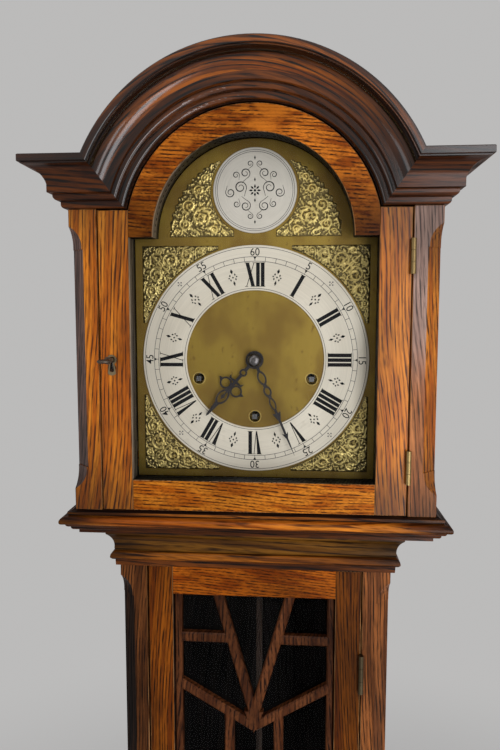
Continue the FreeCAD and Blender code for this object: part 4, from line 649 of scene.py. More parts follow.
def corner_casting():
    """Casting for the upper right corner, in millimetres from the centre of the dial."""
    half = volute(89.5, 104.5, 8.2, -35, 1.55, 1, 1.50) + volute(72.0, 109.5, 6.6, 150, 1.45, -1, 1.35)
    half += volute(58.5, 114.2, 4.4, -20, 1.35, 1, 1.15) + volute(47.5, 116.0, 2.8, 160, 1.2, -1, 0.95)
    half += volute(101.5, 113.5, 4.6, 200, 1.4, -1, 1.25)
    half += [leaf(84.0, 93.5, 140, 7.0, 1.6, 70), leaf(97.5, 97.5, 75, 8.0, 1.6, -60, 2.8)]
    strokes = half + [swapped(stroke) for stroke in half]
    strokes += [leaf(91.0, 91.0, 45, 9.0, 2.2, 0, 2.8), leaf(104.0, 104.0, 45, 8.5, 2.0, 0, 3.2)]

    def inside(x, z):
        """How far a point lies within the casting's outline."""
        wave = 0.9 * np.sin(0.9 * x) * np.sin(0.9 * z)
        round_ring = np.hypot(x, z) - 121.6
        return np.minimum.reduce([119.5 - x, 119.5 - z, round_ring, x - 38.5 + wave, z - 38.5 + wave])

    places = np.arange(37.0, 122.0, RELIEF_GRID)
    strokes = filled(strokes, inside, places, places, 5200, True)
    return places, places, cast_height(strokes, inside, places, places)


def arch_casting():
    """Casting on the right of the boss, in millimetres from the centre of the dial."""
    strokes = volute(57.0, 149.0, 9.6, 215, 1.6, -1, 1.60) + volute(73.0, 141.5, 6.4, 60, 1.4, -1, 1.35)
    strokes += volute(69.0, 160.5, 7.2, -80, 1.5, 1, 1.40) + volute(58.5, 176.5, 5.6, -60, 1.4, 1, 1.30)
    strokes += volute(43.0, 135.5, 4.6, 10, 1.4, 1, 1.25) + volute(32.5, 132.8, 2.8, 10, 1.2, 1, 0.95)
    strokes += volute(52.0, 189.0, 4.2, -70, 1.4, 1, 1.15) + volute(82.5, 133.5, 3.2, 160, 1.2, -1, 1.0)
    strokes += [leaf(60.0, 134.5, 0, 10.0, 1.6, 40)]

    def inside(x, z):
        """How far a point lies within the casting's outline."""
        rim = 90.5 - np.hypot(x, z - 124.5) + 1.1 * np.sin(0.55 * (x - z))
        return np.minimum.reduce([rim, np.hypot(x, z - 175.5) - 46.0, z - 128.5 + 0 * x, x - 22.0 + 0 * z])

    xs = np.arange(20.0, 90.0, RELIEF_GRID)
    zs = np.arange(128.0, 206.0, RELIEF_GRID)
    strokes = filled(strokes, inside, xs, zs, 5200, False)
    return xs, zs, cast_height(strokes, inside, xs, zs)


def cast_solid(xs, zs, height, flip_x, flip_z):
    """Closed solid under a height field: its face, a back sunk in the plate and the walls between."""
    cast = height > SUNK
    cells = cast[:-1, :-1] | cast[1:, :-1] | cast[:-1, 1:] | cast[1:, 1:]
    index = np.arange(height.size).reshape(height.shape)
    corners = [index[:-1, :-1], index[1:, :-1], index[1:, 1:], index[:-1, 1:]]
    front = np.stack([corner[cells] for corner in corners], axis=1)
    shift = height.size
    faces = front.tolist() + (front[:, ::-1] + shift).tolist()
    padded = np.pad(cells, 1)
    beside = (padded[1:-1, :-2], padded[2:, 1:-1], padded[1:-1, 2:], padded[:-2, 1:-1])
    for side, neighbour in enumerate(beside):
        bare = cells & ~neighbour
        here, after = corners[side][bare], corners[(side + 1) % 4][bare]
        faces += np.stack([after, here, here + shift, after + shift], axis=1).tolist()
    grid_x, grid_z = np.meshgrid(xs * flip_x, zs * flip_z, indexing="ij")
    rise = np.maximum(height, SUNK)
    top = np.stack([grid_x * MM, PLATE_FACE - rise * MM, DIAL_Z + grid_z * MM], axis=-1).reshape(-1, 3)
    under = top.copy()
    under[:, 1] = PLATE_FACE + CAST_FOOT
    if flip_x * flip_z < 0:
        faces = [face[::-1] for face in faces]
    vertices = np.concatenate([top, under])
    used = np.unique(np.array(faces))
    renumbered = np.zeros(len(vertices), int)
    renumbered[used] = np.arange(len(used))
    return vertices[used], renumbered[np.array(faces)]


def joined(shapes):
    """Several solids as one mesh."""
    vertices, faces, first = [], [], 0
    for points, sides in shapes:
        vertices += [tuple(point) for point in points]
        faces += [[corner + first for corner in side] for side in sides]
        first = len(vertices)
    return vertices, faces


def cast_brass():
    """Brass casting: bright where it stands proud and was rubbed, brown in its hollows."""
    material = metal("cast brass", RUBBED, DULLED, 0.5, 0.26, bump=0.05, metallic=0.70)
    tree = material.node_tree
    shader = tree.nodes["Principled BSDF"]
    depth = parts_of(tree, own_place(tree))[1]
    low = eased(tree, depth, PLATE_FACE - HOLLOW_HEAD, PLATE_FACE - HOLLOW_FOOT)
    plain = shader.inputs["Base Color"].links[0].from_socket
    tree.links.new(blended(tree, low, plain, HOLLOWS), shader.inputs["Base Color"])
    # Painted light: the castings in the arch are kept lighter than those at the corners, to make up for the
    # shadow of the door head on them.
    return gathered(material, how_high, ARCH_Z + 0.006, ARCH_Z - 0.004, 0.66)


corner_field, arch_field = corner_casting(), arch_casting()
castings = [cast_solid(*corner_field, x, z) for x in (-1, 1) for z in (-1, 1)]
castings += [cast_solid(*arch_field, x, 1) for x in (-1, 1)]
spandrels = fitted(new_piece("cast_spandrels", joined(castings), cast_brass(), True), "case")
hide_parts("spandrels")

# CHAPTER RING
# Silvered brass ring, turned and lacquered. Its engraved marks are filled with black wax: hour numerals with
# their feet to the centre, half-hour marks, and a minute track with strokes, pointers and numerals.
RING_FACE = -0.0485
INK_FRONT = RING_FACE - 0.00012
INK_BACK = RING_FACE + 0.0003
SILVER = (0.665, 0.602, 0.488)
SILVER_AGED = (0.560, 0.500, 0.392)
dress("chapter_ring", [metal("ring silver", SILVER, SILVER_AGED, 0.45, 0.45, (0.0, DIAL_Z), 0.05, 0.25)])
wax = metal("black wax", (0.005, 0.005, 0.006), (0.012, 0.011, 0.011), 0.5, 0.6, metallic=0.0, shine=0.15)
hairline = metal("engraved hairline", (0.035, 0.035, 0.038), (0.08, 0.078, 0.075), 0.5, 0.4, metallic=0.0)


def stem(x, z0, z1, width, lean=0.0, foot=1.0):
    """Upright stroke with level ends. lean moves its head sideways, and foot scales its width below."""
    half = width / 2
    return [(x - half * foot, z0), (x + half * foot, z0), (x + lean + half, z1), (x + lean - half, z1)]


def diamond(x, z, half_width, half_height):
    """Outline of a lozenge."""
    return [(x, z - half_height), (x + half_width, z), (x, z + half_height), (x - half_width, z)]


NUMERAL_FOOT, NUMERAL_HEAD = 76.8, 101.8
THICK, THIN, SERIF = 3.8, 0.70, 0.55
ADVANCE = {"I": 5.0, "V": 9.8, "X": 11.4}


def roman(numeral):
    """Outlines of an hour numeral at twelve, in millimetres from the centre of the dial."""
    foot, head = NUMERAL_FOOT, NUMERAL_HEAD
    outlines = []
    start = -sum(ADVANCE[letter] for letter in numeral) / 2
    for letter in numeral:
        wide = ADVANCE[letter]
        x = start + wide / 2
        left, right = x - wide / 2 + 2.6, x + wide / 2 - 1.6
        if letter == "I":
            outlines.append(stem(x, foot, head, THICK))
            feet, heads = [(x, THICK)], [(x, THICK)]
        elif letter == "V":
            outlines.append(stem(x + 0.6, foot, head, THICK + 0.4, left - x - 0.6, 0.25))
            outlines.append(stem(x + 0.9, foot, head, THIN, right - x - 0.9))
            feet, heads = [], [(left, THICK), (right, 1.6)]
        else:
            outlines.append(stem(right - 0.8, foot, head, THICK, left - right + 0.8))
            outlines.append(stem(left - 0.6, foot, head, THIN, right - left + 0.6))
            feet, heads = [(right - 0.8, THICK), (left - 0.6, 1.6)], [(left, THICK), (right, 1.6)]
        outlines += [stem(at, foot, foot + SERIF, width + 1.7) for at, width in feet]
        outlines += [stem(at, head - SERIF, head, width + 1.7) for at, width in heads]
        start += wide
    return outlines


def swung(points, turn):
    """Points turned clockwise about the origin."""
    sine, cosine = math.sin(turn), math.cos(turn)
    return [(x * cosine + z * sine, z * cosine - x * sine) for x, z in points]


def about_dial(points, turn):
    """Points drawn at twelve, in millimetres, turned clockwise to their place on the dial, in metres."""
    return [(x * MM, DIAL_Z + z * MM) for x, z in swung(points, turn)]


HOURS = ("XII", "I", "II", "III", "IIII", "V", "VI", "VII", "VIII", "IX", "X", "XI")
hour_outlines = []
for hour, numeral in enumerate(HOURS):
    hour_outlines += [about_dial(outline, math.radians(30 * hour)) for outline in roman(numeral)]
fitted(new_piece("hour_numerals", prisms(hour_outlines, INK_FRONT, INK_BACK), wax), "case")


def dial_marks():
    """Geometry Nodes: one engraved mark, repeated round a circle that is centred on the dial's axis."""
    inputs = {"Mark": "Geometry", "Count": "Int", "Radius": "Float", "First": "Float", "Step": "Float"}
    inputs |= {"Centre": "Float", "Ink": "Material"}
    tree, enter, leave = new_tree("marks round the dial", "GeometryNodeTree", inputs, MADE)
    index = tree.nodes.new("GeometryNodeInputIndex").outputs[0]
    turn = worked(tree, "MULTIPLY_ADD", index, enter["Step"], enter["First"])
    x = worked(tree, "MULTIPLY", worked(tree, "SINE", turn), enter["Radius"])
    z = worked(tree, "MULTIPLY_ADD", worked(tree, "COSINE", turn), enter["Radius"], enter["Centre"])
    place = node_in(tree, "ShaderNodeCombineXYZ", {0: x, 2: z}).outputs[0]
    facing = node_in(tree, "ShaderNodeCombineXYZ", {1: turn}).outputs[0]
    tree.links.new(repeated(tree, enter["Mark"], enter["Count"], place, facing, enter["Ink"]), leave[0])
    return tree


marks_tree = dial_marks()


def round_dial(name, outlines, count, radius, first, step, ink):
    """Engraved marks, drawn in millimetres about their own middle, round the dial by angles in degrees."""
    drawn = [[(x * MM, z * MM) for x, z in outline] for outline in outlines]
    mark = new_piece(name, prisms(drawn, INK_FRONT, INK_BACK), ink)
    values = {"Count": count, "Radius": radius * MM, "First": math.radians(first), "Step": math.radians(step)}
    return fitted(settled(mark, marks_tree, values | {"Centre": DIAL_Z, "Ink": ink}), "case")


half_hour = [diamond(0, 6.2, 1.5, 2.8), diamond(0, -6.4, 1.2, 2.9), diamond(0, 0, 1.1, 1.1)]
for x in (-1, 1):
    half_hour += [diamond(2.7 * x, 2.4, 0.9, 1.4), diamond(2.7 * x, -2.4, 0.9, 1.4)]
    half_hour.append(diamond(4.1 * x, 0, 1.0, 1.0))
cross = [diamond(0, 0, 0.6, 0.6)]
cross += [diamond(x, z, 0.95, 0.95) for x, z in ((2.1, 0), (-2.1, 0), (0, 2.1), (0, -2.1))]
round_dial("half_hour_marks", half_hour, 12, 89.3, 15, 30, wax)
round_dial("quarter_crosses", cross, 4, 112.6, 45, 90, hairline)
round_dial("minute_strokes", [stem(0, -2.35, 2.35, 0.50)], 60, 105.55, 0, 6, hairline)
round_dial("five_minute_pointers", [[(0, -3.0), (1.7, 0), (-1.7, 0)]], 12, 107.9, 0, 30, wax)


def turned_solid(profile, x, z, steps=128):
    """Solid of a closed profile (radius, y), turned about the line through (x, z) that runs front to back."""
    vertices = []
    for step in range(steps):
        turn = 2 * math.pi * step / steps
        vertices += [(x + reach * math.sin(turn), y, z + reach * math.cos(turn)) for reach, y in profile]
    count = len(profile)
    faces = []
    for step in range(steps):
        here, after = step * count, (step + 1) % steps * count
        for corner in range(count):
            other = (corner + 1) % count
            faces.append([here + corner, here + other, after + other, after + corner])
    return vertices, faces


def ring_line(radius, width, z=DIAL_Z, front=INK_FRONT):
    """Engraved circle, as a thin ring let into the metal."""
    inner, outer = (radius - width / 2) * MM, (radius + width / 2) * MM
    back = front + 0.0004
    return turned_solid([(inner, front), (outer, front), (outer, back), (inner, back)], 0.0, z)


ring_lines = [ring_line(radius, 0.50) for radius in (75.0, 103.2, 107.9, 117.6)]
fitted(new_piece("ring_lines", joined(ring_lines), hairline), "case")


MINUTE_SIZE = 0.0113
MINUTE_RADIUS = 112.4
MINUTE_NARROW = 0.92
MINUTE_THICK = 0.0002


def minute_numeral(number):
    """Outline mesh of a minute numeral, upright at its place on the dial, with its head outwards."""
    text = bpy.data.curves.new("minute " + str(number), "FONT")
    text.body = str(number)
    text.size = MINUTE_SIZE
    text.offset = 0.00002
    text.align_x = "CENTER"
    text.align_y = "CENTER"
    text.extrude = MINUTE_THICK
    text.resolution_u = 4
    thing = bpy.data.objects.new(text.name, text)
    bpy.context.scene.collection.objects.link(thing)
    mesh = bpy.data.meshes.new_from_object(thing.evaluated_get(bpy.context.evaluated_depsgraph_get()))
    points = [vertex.co.copy() for vertex in mesh.vertices]
    sides = [list(face.vertices) for face in mesh.polygons]
    bpy.data.objects.remove(thing)
    turn = math.radians(6 * number)
    placed = []
    for point in points:
        (x, z), = about_dial([(point.x / MM * MINUTE_NARROW, point.y / MM + MINUTE_RADIUS)], turn)
        placed.append((x, (INK_FRONT + MINUTE_THICK) - point.z, z))
    return placed, sides


numerals = joined([minute_numeral(number) for number in range(5, 61, 5)])
fitted(new_piece("minute_numerals", numerals, wax), "case")

# BOSS
# Silvered disc in the arch of the dial, fixed like the ring. Two turned lines run inside its rim, and its
# middle has an engraved flourish: a rosette between plain scrolls.
BOSS_Z = DIAL_Z + 0.1755
BOSS_SILVER = (0.585, 0.540, 0.462)
BOSS_AGED = (0.505, 0.462, 0.385)
dress("boss_disc", [metal("boss silver", BOSS_SILVER, BOSS_AGED, 0.40, 0.42, (0.0, BOSS_Z), 0.05, 0.25)])
boss_lines = [ring_line(radius, 0.45, BOSS_Z) for radius in (39.2, 41.0)]
fitted(new_piece("boss_lines", joined(boss_lines), hairline), "case")


def ribbon(points, widths):
    """Outline of an engraved stroke that swells and thins along its line."""
    points = np.array(points)
    along = np.gradient(points, axis=0)
    along /= np.linalg.norm(along, axis=1)[:, None]
    across = np.stack([along[:, 1], -along[:, 0]], axis=1) * np.array(widths)[:, None] / 2
    return [tuple(point) for point in np.concatenate([points + across, (points - across)[::-1]])]


def scroll_line(x, z, radius, first, turns, hand, thick, tail):
    """Engraved scroll with a tail: from the tail's end, round and in to its eye."""
    share = np.linspace(0.0, 1.0, 46)
    turn = np.radians(first) + hand * share * turns * 2 * math.pi
    reach = radius * (1.0 - 0.72 * share)
    curl = np.stack([x + reach * np.cos(turn), z + reach * np.sin(turn)], axis=1)
    way = math.radians(first - hand * 90)
    length = np.linspace(tail, 0.4, 10)
    sag = 0.012 * length**2 * hand
    lead = np.stack([curl[0, 0] + length * math.cos(way) - sag * math.sin(way),
                     curl[0, 1] + length * math.sin(way) + sag * math.cos(way)], axis=1)
    points = np.concatenate([lead, curl])
    swell = thick * (0.40 + 0.60 * np.sin(np.linspace(0.0, 1.0, len(points)) * math.pi) ** 2)
    return ribbon(points, swell)


def flourish():
    """Outlines of the engraving, in millimetres about the middle of the boss. Each side mirrors the other."""
    half = [
        scroll_line(15.0, 3.2, 6.4, 200, 1.5, -1, 1.15, 7.0),
        scroll_line(25.6, -2.0, 5.0, 20, 1.45, -1, 1.05, 5.5),
        scroll_line(10.0, 17.5, 5.2, 235, 1.4, -1, 1.05, 8.0),
        scroll_line(19.6, 15.6, 3.6, 190, 1.3, -1, 0.9, 4.5),
        scroll_line(9.6, -15.6, 5.4, 120, 1.45, 1, 1.05, 8.5),
        scroll_line(19.0, -13.6, 3.6, 160, 1.3, 1, 0.9, 4.5),
        scroll_line(5.0, 27.0, 3.2, 235, 1.3, -1, 0.85, 6.0),
        scroll_line(5.0, -26.0, 3.2, 125, 1.3, 1, 0.85, 6.0),
    ]
    outlines = []
    for outline in half:
        area = sum(a[0] * b[1] - b[0] * a[1] for a, b in zip(outline, outline[1:] + outline[:1]))
        right = outline if area > 0 else outline[::-1]
        outlines += [right, [(-x, z) for x, z in right[::-1]]]
    outlines += [diamond(0, z, 0.9, 2.2) for z in (11.0, -10.0, 33.0, -32.0)]
    petal = [(0, 2.0), (1.1, 4.0), (0, 6.4), (-1.1, 4.0)]
    outlines += [swung(petal, math.radians(45 * step)) for step in range(8)]
    outlines.append(arc(0, 0, 1.3, 0, 330, 11))
    return [[(x * MM, BOSS_Z + z * MM) for x, z in outline] for outline in outlines]


fitted(new_piece("boss_flourish", prisms(flourish(), INK_FRONT, INK_BACK), wax), "case")

# WINDING HOLES
# Three holes in the dial, one for each spring. Their edges are turned to a small polished bead, and the
# square end of an arbor stands in each.
RIM_RADIUS, RIM_HALF, RIM_RISE = 6.45, 0.65, 0.30
RIM_SINK = 0.0001
rim_brass = metal("hole rim brass", (0.360, 0.255, 0.068), (0.210, 0.135, 0.030), 0.5, 0.34, metallic=0.7)
bead = []
for across, rise in arc(0, 0, 1, 0, 330, 11):
    reach = RIM_RADIUS + RIM_HALF * across
    bead.append((reach * MM, PLATE_FACE + RIM_SINK - RIM_RISE * rise * MM))
holes = [turned_solid(bead, x, DIAL_Z + lift, 48) for x, lift in WINDING.values()]
fitted(new_piece("winding_hole_rims", joined(holes), rim_brass, True), "case")

# HANDS
# Hour and minute hand, pierced from sheet steel, filed round and blued nearly black, on collets that are held
# by a turned nut with a washer.
BLUED = (0.016, 0.015, 0.018)
BLUED_AGED = (0.040, 0.033, 0.030)
NUT = (0.130, 0.120, 0.118)
NUT_AGED = (0.060, 0.053, 0.050)
hand_steel = metal("blued steel", BLUED, BLUED_AGED, 0.5, 0.30, metallic=0.6)
for node in ("minute_hand", "hour_hand"):
    dress(node, [hand_steel])
dress("hand_nut", [metal("nut steel", NUT, NUT_AGED, 0.5, 0.24, (0.0, DIAL_Z))])

# DIAL MASK
# Thin frame behind the hood door that hides the gap round the dial. It is ebonised oak and is fixed inside
# the hood.
EBONY = ((0.002, 0.002, 0.002), (0.006, 0.006, 0.007), (0.012, 0.011, 0.012))
dress("dial_mask", [oak("ebonised mask", "up", EBONY, (0.10, 0.02), varnish=0.0, shine=0.03)])

# HOOD
# The head of the case, which slides forward off the waist moulding: a moulded base, two corner posts with
# stopped chamfers, two sides, a fascia, an arched cornice with level shoulders and returns, and roof boards.
HONEY = ((0.060, 0.013, 0.002), (0.410, 0.096, 0.005), (0.660, 0.210, 0.016))
NOSING = ((0.080, 0.018, 0.002), (0.330, 0.074, 0.005), (0.580, 0.180, 0.016))
LIP = ((0.008, 0.004, 0.003), (0.050, 0.014, 0.004), (0.260, 0.070, 0.010))
LEDGE_SHADE = ((0.003, 0.002, 0.002), (0.014, 0.006, 0.004), (0.040, 0.014, 0.006))
RAISED = ((0.010, 0.004, 0.001), (0.150, 0.030, 0.001), (0.420, 0.105, 0.005))
SHOULDER = ((0.006, 0.003, 0.002), (0.038, 0.009, 0.002), (0.110, 0.028, 0.004))
SHADED_CHAMFER = ((0.010, 0.005, 0.004), (0.080, 0.034, 0.022), (0.170, 0.085, 0.064))
GLARE_TONES = ((0.055, 0.038, 0.032), (0.235, 0.130, 0.098), (0.400, 0.250, 0.195))
KEYHOLE = (-0.1432, DIAL_Z + 0.002)
SLOT_DROP = 0.0085
HOOD_CORNER = (0.148, -0.047)
CORNICE_HALF, CORNICE_BACK = 0.185, -0.090
LIP_FACE, BEADS_BACK = -0.1235, -0.1055
ARRIS_EDGE = 0.170
hood_up = oak("hood oak up", "up", HONEY, (-0.15, -0.05), 0.0040, varnish=0.40, gloss=0.28)
# The hood's boards darken towards their foot. Towards their top they carry a painted shadow of the cornice,
# which takes more from red than from blue.
hood_up = gathered(hood_up, how_high, DIAL_Z - 0.075, DIAL_Z - 0.160, 0.40)
hood_up = gathered(hood_up, how_high, DIAL_Z + 0.085, DIAL_Z + 0.150, (0.52, 0.58, 0.80))


def from_slot(tree, x, y, z):
    """Measure for the painted shade in the keyhole: how far a point is from its lower end."""
    aside = worked(tree, "SUBTRACT", x, KEYHOLE[0])
    return slant(tree, aside, worked(tree, "SUBTRACT", z, KEYHOLE[1] - SLOT_DROP))


# Painted shade: the stile's face seen through the keyhole is darkened to near black.
hood_up = gathered(hood_up, from_slot, 0.0048, 0.0036, 0.03)
hood_across = oak("hood oak across", "across", HONEY, (1.80, -0.06), 0.0034, 4.0)
nosing_across = gathered(moulded("nosing oak", "across", NOSING, 0.3), off_centre, 0.13, 0.19, 0.15)
# Painted shade: the top ledge of the hood's base moulding, a thin band under its bead and the fascia under
# the cornice are near-black.
shaded_ledge = oak("shaded ledge oak", "across", LEDGE_SHADE, (1.0, 0.3), varnish=0.05)
base_bands = [shaded_ledge, bead_across, shaded_ledge, nosing_across, moulding_across]
base_heights = [DIAL_Z - drop for drop in (0.1572, 0.1596, 0.1610, 0.1694)]
dress("hood_base_moulding", base_bands + [moulding_deep] * 5, banded(*HOOD_CORNER, base_heights))


def under_lip(tree, x, y, z):
    """Measure of how far a point of the cornice stands out from the case."""
    forward = worked(tree, "SUBTRACT", CORNICE_BACK, y)
    aside = worked(tree, "SUBTRACT", worked(tree, "ABSOLUTE", x), CORNICE_HALF)
    return worked(tree, "MAXIMUM", forward, aside)


def lipped(middle, facing):
    """Cove, flat of the lip, beads under the cove and side returns of the cornice, in that order."""
    if abs(middle.x) - CORNICE_HALF > CORNICE_BACK - middle.y:
        return 3
    if middle.y < LIP_FACE and facing.y < -0.9:
        return 1
    return 2 * int(middle.y > BEADS_BACK)


def cornice(name, way, tones, gloss=0.14):
    """Finish of a run of the cornice, with painted shade in its hollows. It darkens towards the feet of the
    arch.
    """
    finish = oak(name, way, tones, (0.05, -0.08), 0.0050, 0.9, varnish=0.9, gloss=gloss, hollow_shade=0.9, shine=0.05)
    return gathered(finish, how_high, ARCH_Z + 0.16, ARCH_Z + 0.02, 0.20)


# Painted shadow: the cove darkens to near black under the lip, and painted shade darkens its right-hand part,
# which faces away from the lamps.
cove_round = gathered(cornice("cornice cove round", "round", RAISED), under_lip, 0.0185, 0.0265, 0.08)
cove_round = gathered(cove_round, how_far_right, 0.02, 0.15, 0.35)
# Painted shadow: the level cornice darkens under its lip and at the top of its cove.
cornice_across = moulded("cornice oak across", "across", SHOULDER, 0.85, 0.30, 0.10)
cornice_across = gathered(cornice_across, under_lip, 0.031, 0.034, 0.30)
cornice_deep = moulded("cornice oak deep", "deep", varnish=0.0, shine=0.03)
bead_round = cornice("cornice beads round", "round", UMBER, 0.12)
lip_round = cornice("cornice lip round", "round", LIP, 0.25)
lip_across = cornice("cornice lip across", "across", UMBER, 0.25)
# Painted shade and painted reflection: the chamfers on the left of the hood posts are dark, with a greyish
# tint of reflected surround; those on the right keep the hood's finish.
shaded_hood_chamfer = oak("hood shaded chamfer oak", "up", SHADED_CHAMFER, (-0.15, -0.05), 0.0034, varnish=0.3)
# Painted reflection: the right post's face is greyed by a painted glare of the right-hand lamps, which turns
# orange and then darker towards its foot.
glare_up = oak("hood oak with painted glare", "up", GLARE_TONES, (-0.15, -0.05), 0.0040, varnish=0.22, gloss=0.36)
glare_up = gathered(glare_up, how_high, DIAL_Z + 0.035, DIAL_Z - 0.045, (1.20, 0.68, 0.26))
glare_up = gathered(glare_up, how_high, DIAL_Z - 0.110, DIAL_Z - 0.155, 0.45)


def corner_finish(middle, facing):
    """Sound wood, shaded chamfer and worn arrises with painted highlight of the corner posts, and the right
    post's face with painted glare, in that order.
    """
    if not oblique(facing):
        return 3 * int(middle.x > 0 and facing.y < -0.9)
    return 2 if abs(middle.x) < ARRIS_EDGE else int(middle.x < 0)


dress("hood_posts", [hood_up, shaded_hood_chamfer, worn_lit_arris, glare_up], corner_finish)
dress("hood_sides", [side_up])
dress("hood_fascia", [shaded_ledge])
dress("cornice_arch", [cove_round, lip_round, bead_round, cornice_deep], lipped)
dress("cornice_straight", [cornice_across, lip_across, cornice_across, cornice_deep], lipped)
dress("hood_roof", [plain_across])
dress("hood_hinge_post_leaves", [fittings_brass])

# HOOD DOOR
# Glazed door in front of the dial: two stiles, a foot rail and an arched head, joined by mortise and tenon.
# The pane sits in a rebate, brass butts hang the door on the right, and its left stile has a lock and key.
HEAD = ((0.040, 0.010, 0.002), (0.240, 0.050, 0.004), (0.560, 0.160, 0.014))
LIT_JAMB_TONES = ((0.180, 0.130, 0.090), (0.390, 0.300, 0.220), (0.560, 0.450, 0.350))
SIGHT_SHOULDER = DIAL_Z + 0.1265
SIGHT_RADIUS = 0.100
KEYHOLE_REACH = 0.013
head_across = oak("arched head oak", "across", HEAD, (1.90, -0.06), 0.0034, 4.5, 0.9)
# Painted shade: the arched head darkens towards its feet, where the cornice shades it.
head_across = gathered(head_across, how_high, SIGHT_SHOULDER + 0.08, SIGHT_SHOULDER - 0.01, 0.22)
# The sight edges of both doors, the top of the hood door's foot rail and the walls of the keyhole are
# near-black.
sight_edge = oak("near-black sight edge", "up", EBONY, (0.10, 0.02), varnish=0.0, shine=0.03)
# Painted light and highlight: the left jambs of the sight, which face the right-hand lamps, are pale,
# brightest along their front and fading towards the back and towards the right.
lit_jamb = oak("lit jamb with painted highlight", "up", LIT_JAMB_TONES, (0.10, 0.02), 0.0030)
lit_jamb = gathered(lit_jamb, how_deep, -0.0885, -0.0835, 0.24)
lit_jamb = gathered(lit_jamb, how_far_right, -0.098, -0.040, 0.06)


def stile_finish(middle, facing):
    """Faces, dark sight edge and keyhole, worn arrises with painted highlight and the jamb with painted light
    of a stile, in that order.
    """
    # Painted shade: the walls of the keyhole in the stile take the near-black sight edge finish.
    if math.hypot(middle.x - KEYHOLE[0], middle.z - KEYHOLE[1]) < KEYHOLE_REACH and facing.y > -0.9:
        return 1
    if oblique(facing):
        return 2
    if facing.x * middle.x > -0.05:
        return 0
    return 3 if facing.x > 0 else 1


def rail_finish(middle, facing):
    """Foot rail, arched head, dark sight edges, worn arrises with painted highlight and the jamb with painted
    light, in that order.
    """
    if oblique(facing) and facing.y < -0.3:
        return 3
    if middle.z < DIAL_Z:
        return 2 if facing.z > 0.5 else 0
    within = math.hypot(middle.x, middle.z - SIGHT_SHOULDER) < SIGHT_RADIUS + 0.001
    if abs(facing.y) > 0.5 or not (within or facing.z < -0.5):
        return 1
    return 4 if facing.x > 0.4 else 2


dress("hood_door_stiles", [hood_up, sight_edge, worn_lit_arris, lit_jamb], stile_finish)
dress("hood_door_rails", [hood_across, head_across, sight_edge, worn_lit_arris, lit_jamb], rail_finish)


def pane(name):
    """Clear sheet glass. It lets lamps and stray light through to what is behind it."""
    material = bpy.data.materials.new(name)
    material.use_nodes = True
    tree = material.node_tree
    shader = tree.nodes["Principled BSDF"]
    place = own_place(tree)
    waves = cloud(tree, place, (7.0, 7.0, 4.0), 1.0)
    smears = eased(tree, cloud(tree, place, (30.0, 30.0, 12.0), 3.0), 0.50, 0.80)
    ripple = node_in(tree, "ShaderNodeBump", {"Height": waves, "Strength": 0.05, "Distance": 0.001})
    tree.links.new(ripple.outputs[0], shader.inputs["Normal"])
    tree.links.new(worked(tree, "MULTIPLY_ADD", smears, 0.03, 0.01), shader.inputs["Roughness"])
    shader.inputs["Base Color"].default_value = (0.97, 0.985, 0.98, 1.0)
    shader.inputs["Transmission Weight"].default_value = 1.0
    shader.inputs["IOR"].default_value = 1.12
    shader.inputs["Specular IOR Level"].default_value = 0.15
    clear = tree.nodes.new("ShaderNodeBsdfTransparent").outputs[0]
    rays = tree.nodes.new("ShaderNodeLightPath").outputs
    bounced = worked(tree, "MAXIMUM", rays["Is Diffuse Ray"], rays["Is Glossy Ray"])
    unseen = worked(tree, "MAXIMUM", rays["Is Shadow Ray"], bounced)
    mixed = node_in(tree, "ShaderNodeMixShader", {0: unseen, 1: shader.outputs[0], 2: clear}).outputs[0]
    tree.links.new(mixed, tree.nodes["Material Output"].inputs["Surface"])
    return material


def rim(middle, facing):
    """Picks the second finish for the edge of a pane."""
    return int(abs(facing.y) < 0.5)


glass = pane("sheet glass")
putty = metal("dark putty", (0.006, 0.006, 0.006), (0.014, 0.012, 0.011), 0.5, 0.8, metallic=0.0, shine=0.03)
dress("hood_door_glass", [glass, putty], rim)
old_iron = metal("old iron", (0.13, 0.10, 0.075), (0.05, 0.035, 0.025), 0.6, 0.32, metallic=0.8)
dress("hood_hinge_door_leaves", [fittings_brass])
dress("hood_door_escutcheon", [metal("keyhole brass", (0.27, 0.21, 0.12), (0.12, 0.085, 0.045), 0.5, 0.28)])
dress("door_key", [old_iron])
for node in ("hood_door_lock", "hood_lock_bolt"):
    dress(node, [steel])

# TRUNK DOOR
# Long door over the pendulum: two stiles, head and foot rails, and a fan of oak glazing bars in front of one
# pane. It hangs on brass butts and shuts with a turn catch.
TRUNK_DOOR = ((0.018, 0.005, 0.001), (0.130, 0.027, 0.002), (0.290, 0.076, 0.005))
BARS = ((0.012, 0.004, 0.002), (0.062, 0.018, 0.006), (0.130, 0.042, 0.014))
trunk_stile = oak("trunk door oak up", "up", TRUNK_DOOR, (-0.15, -0.04), 0.0034)
trunk_stile = gathered(trunk_stile, how_far_right, 0.0, 0.09, 0.60)
bar_oak = oak("glazing bar oak", "up", BARS, (0.10, 0.02), short=3.0)


def trunk_stile_finish(middle, facing):
    """Faces, dark sight edges and worn arrises with painted highlight of a stile, in that order."""
    return 2 if oblique(facing) else int(facing.x * middle.x < -0.05)


dress("trunk_door_stiles", [trunk_stile, sight_edge, worn_lit_arris], trunk_stile_finish)
dress("trunk_door_rails", [trunk_across])
dress("trunk_glazing_bars", [bar_oak])
dress("trunk_door_glass", [glass, putty], rim)
dress("trunk_hinge_door_leaves", [dull_brass])
dress("trunk_door_catch", [dull_brass])

# STUDIO
# A pale floor, two soft daylight lamps at the right, weaker ones at the left, overhead and behind, an even
# pale surround, and the camera where the photograph was taken from.
scene = bpy.context.scene
scene.view_settings.view_transform = "Standard"
FLOOR_HALF = 6.0
PALE = (0.50, 0.495, 0.49, 1.0)


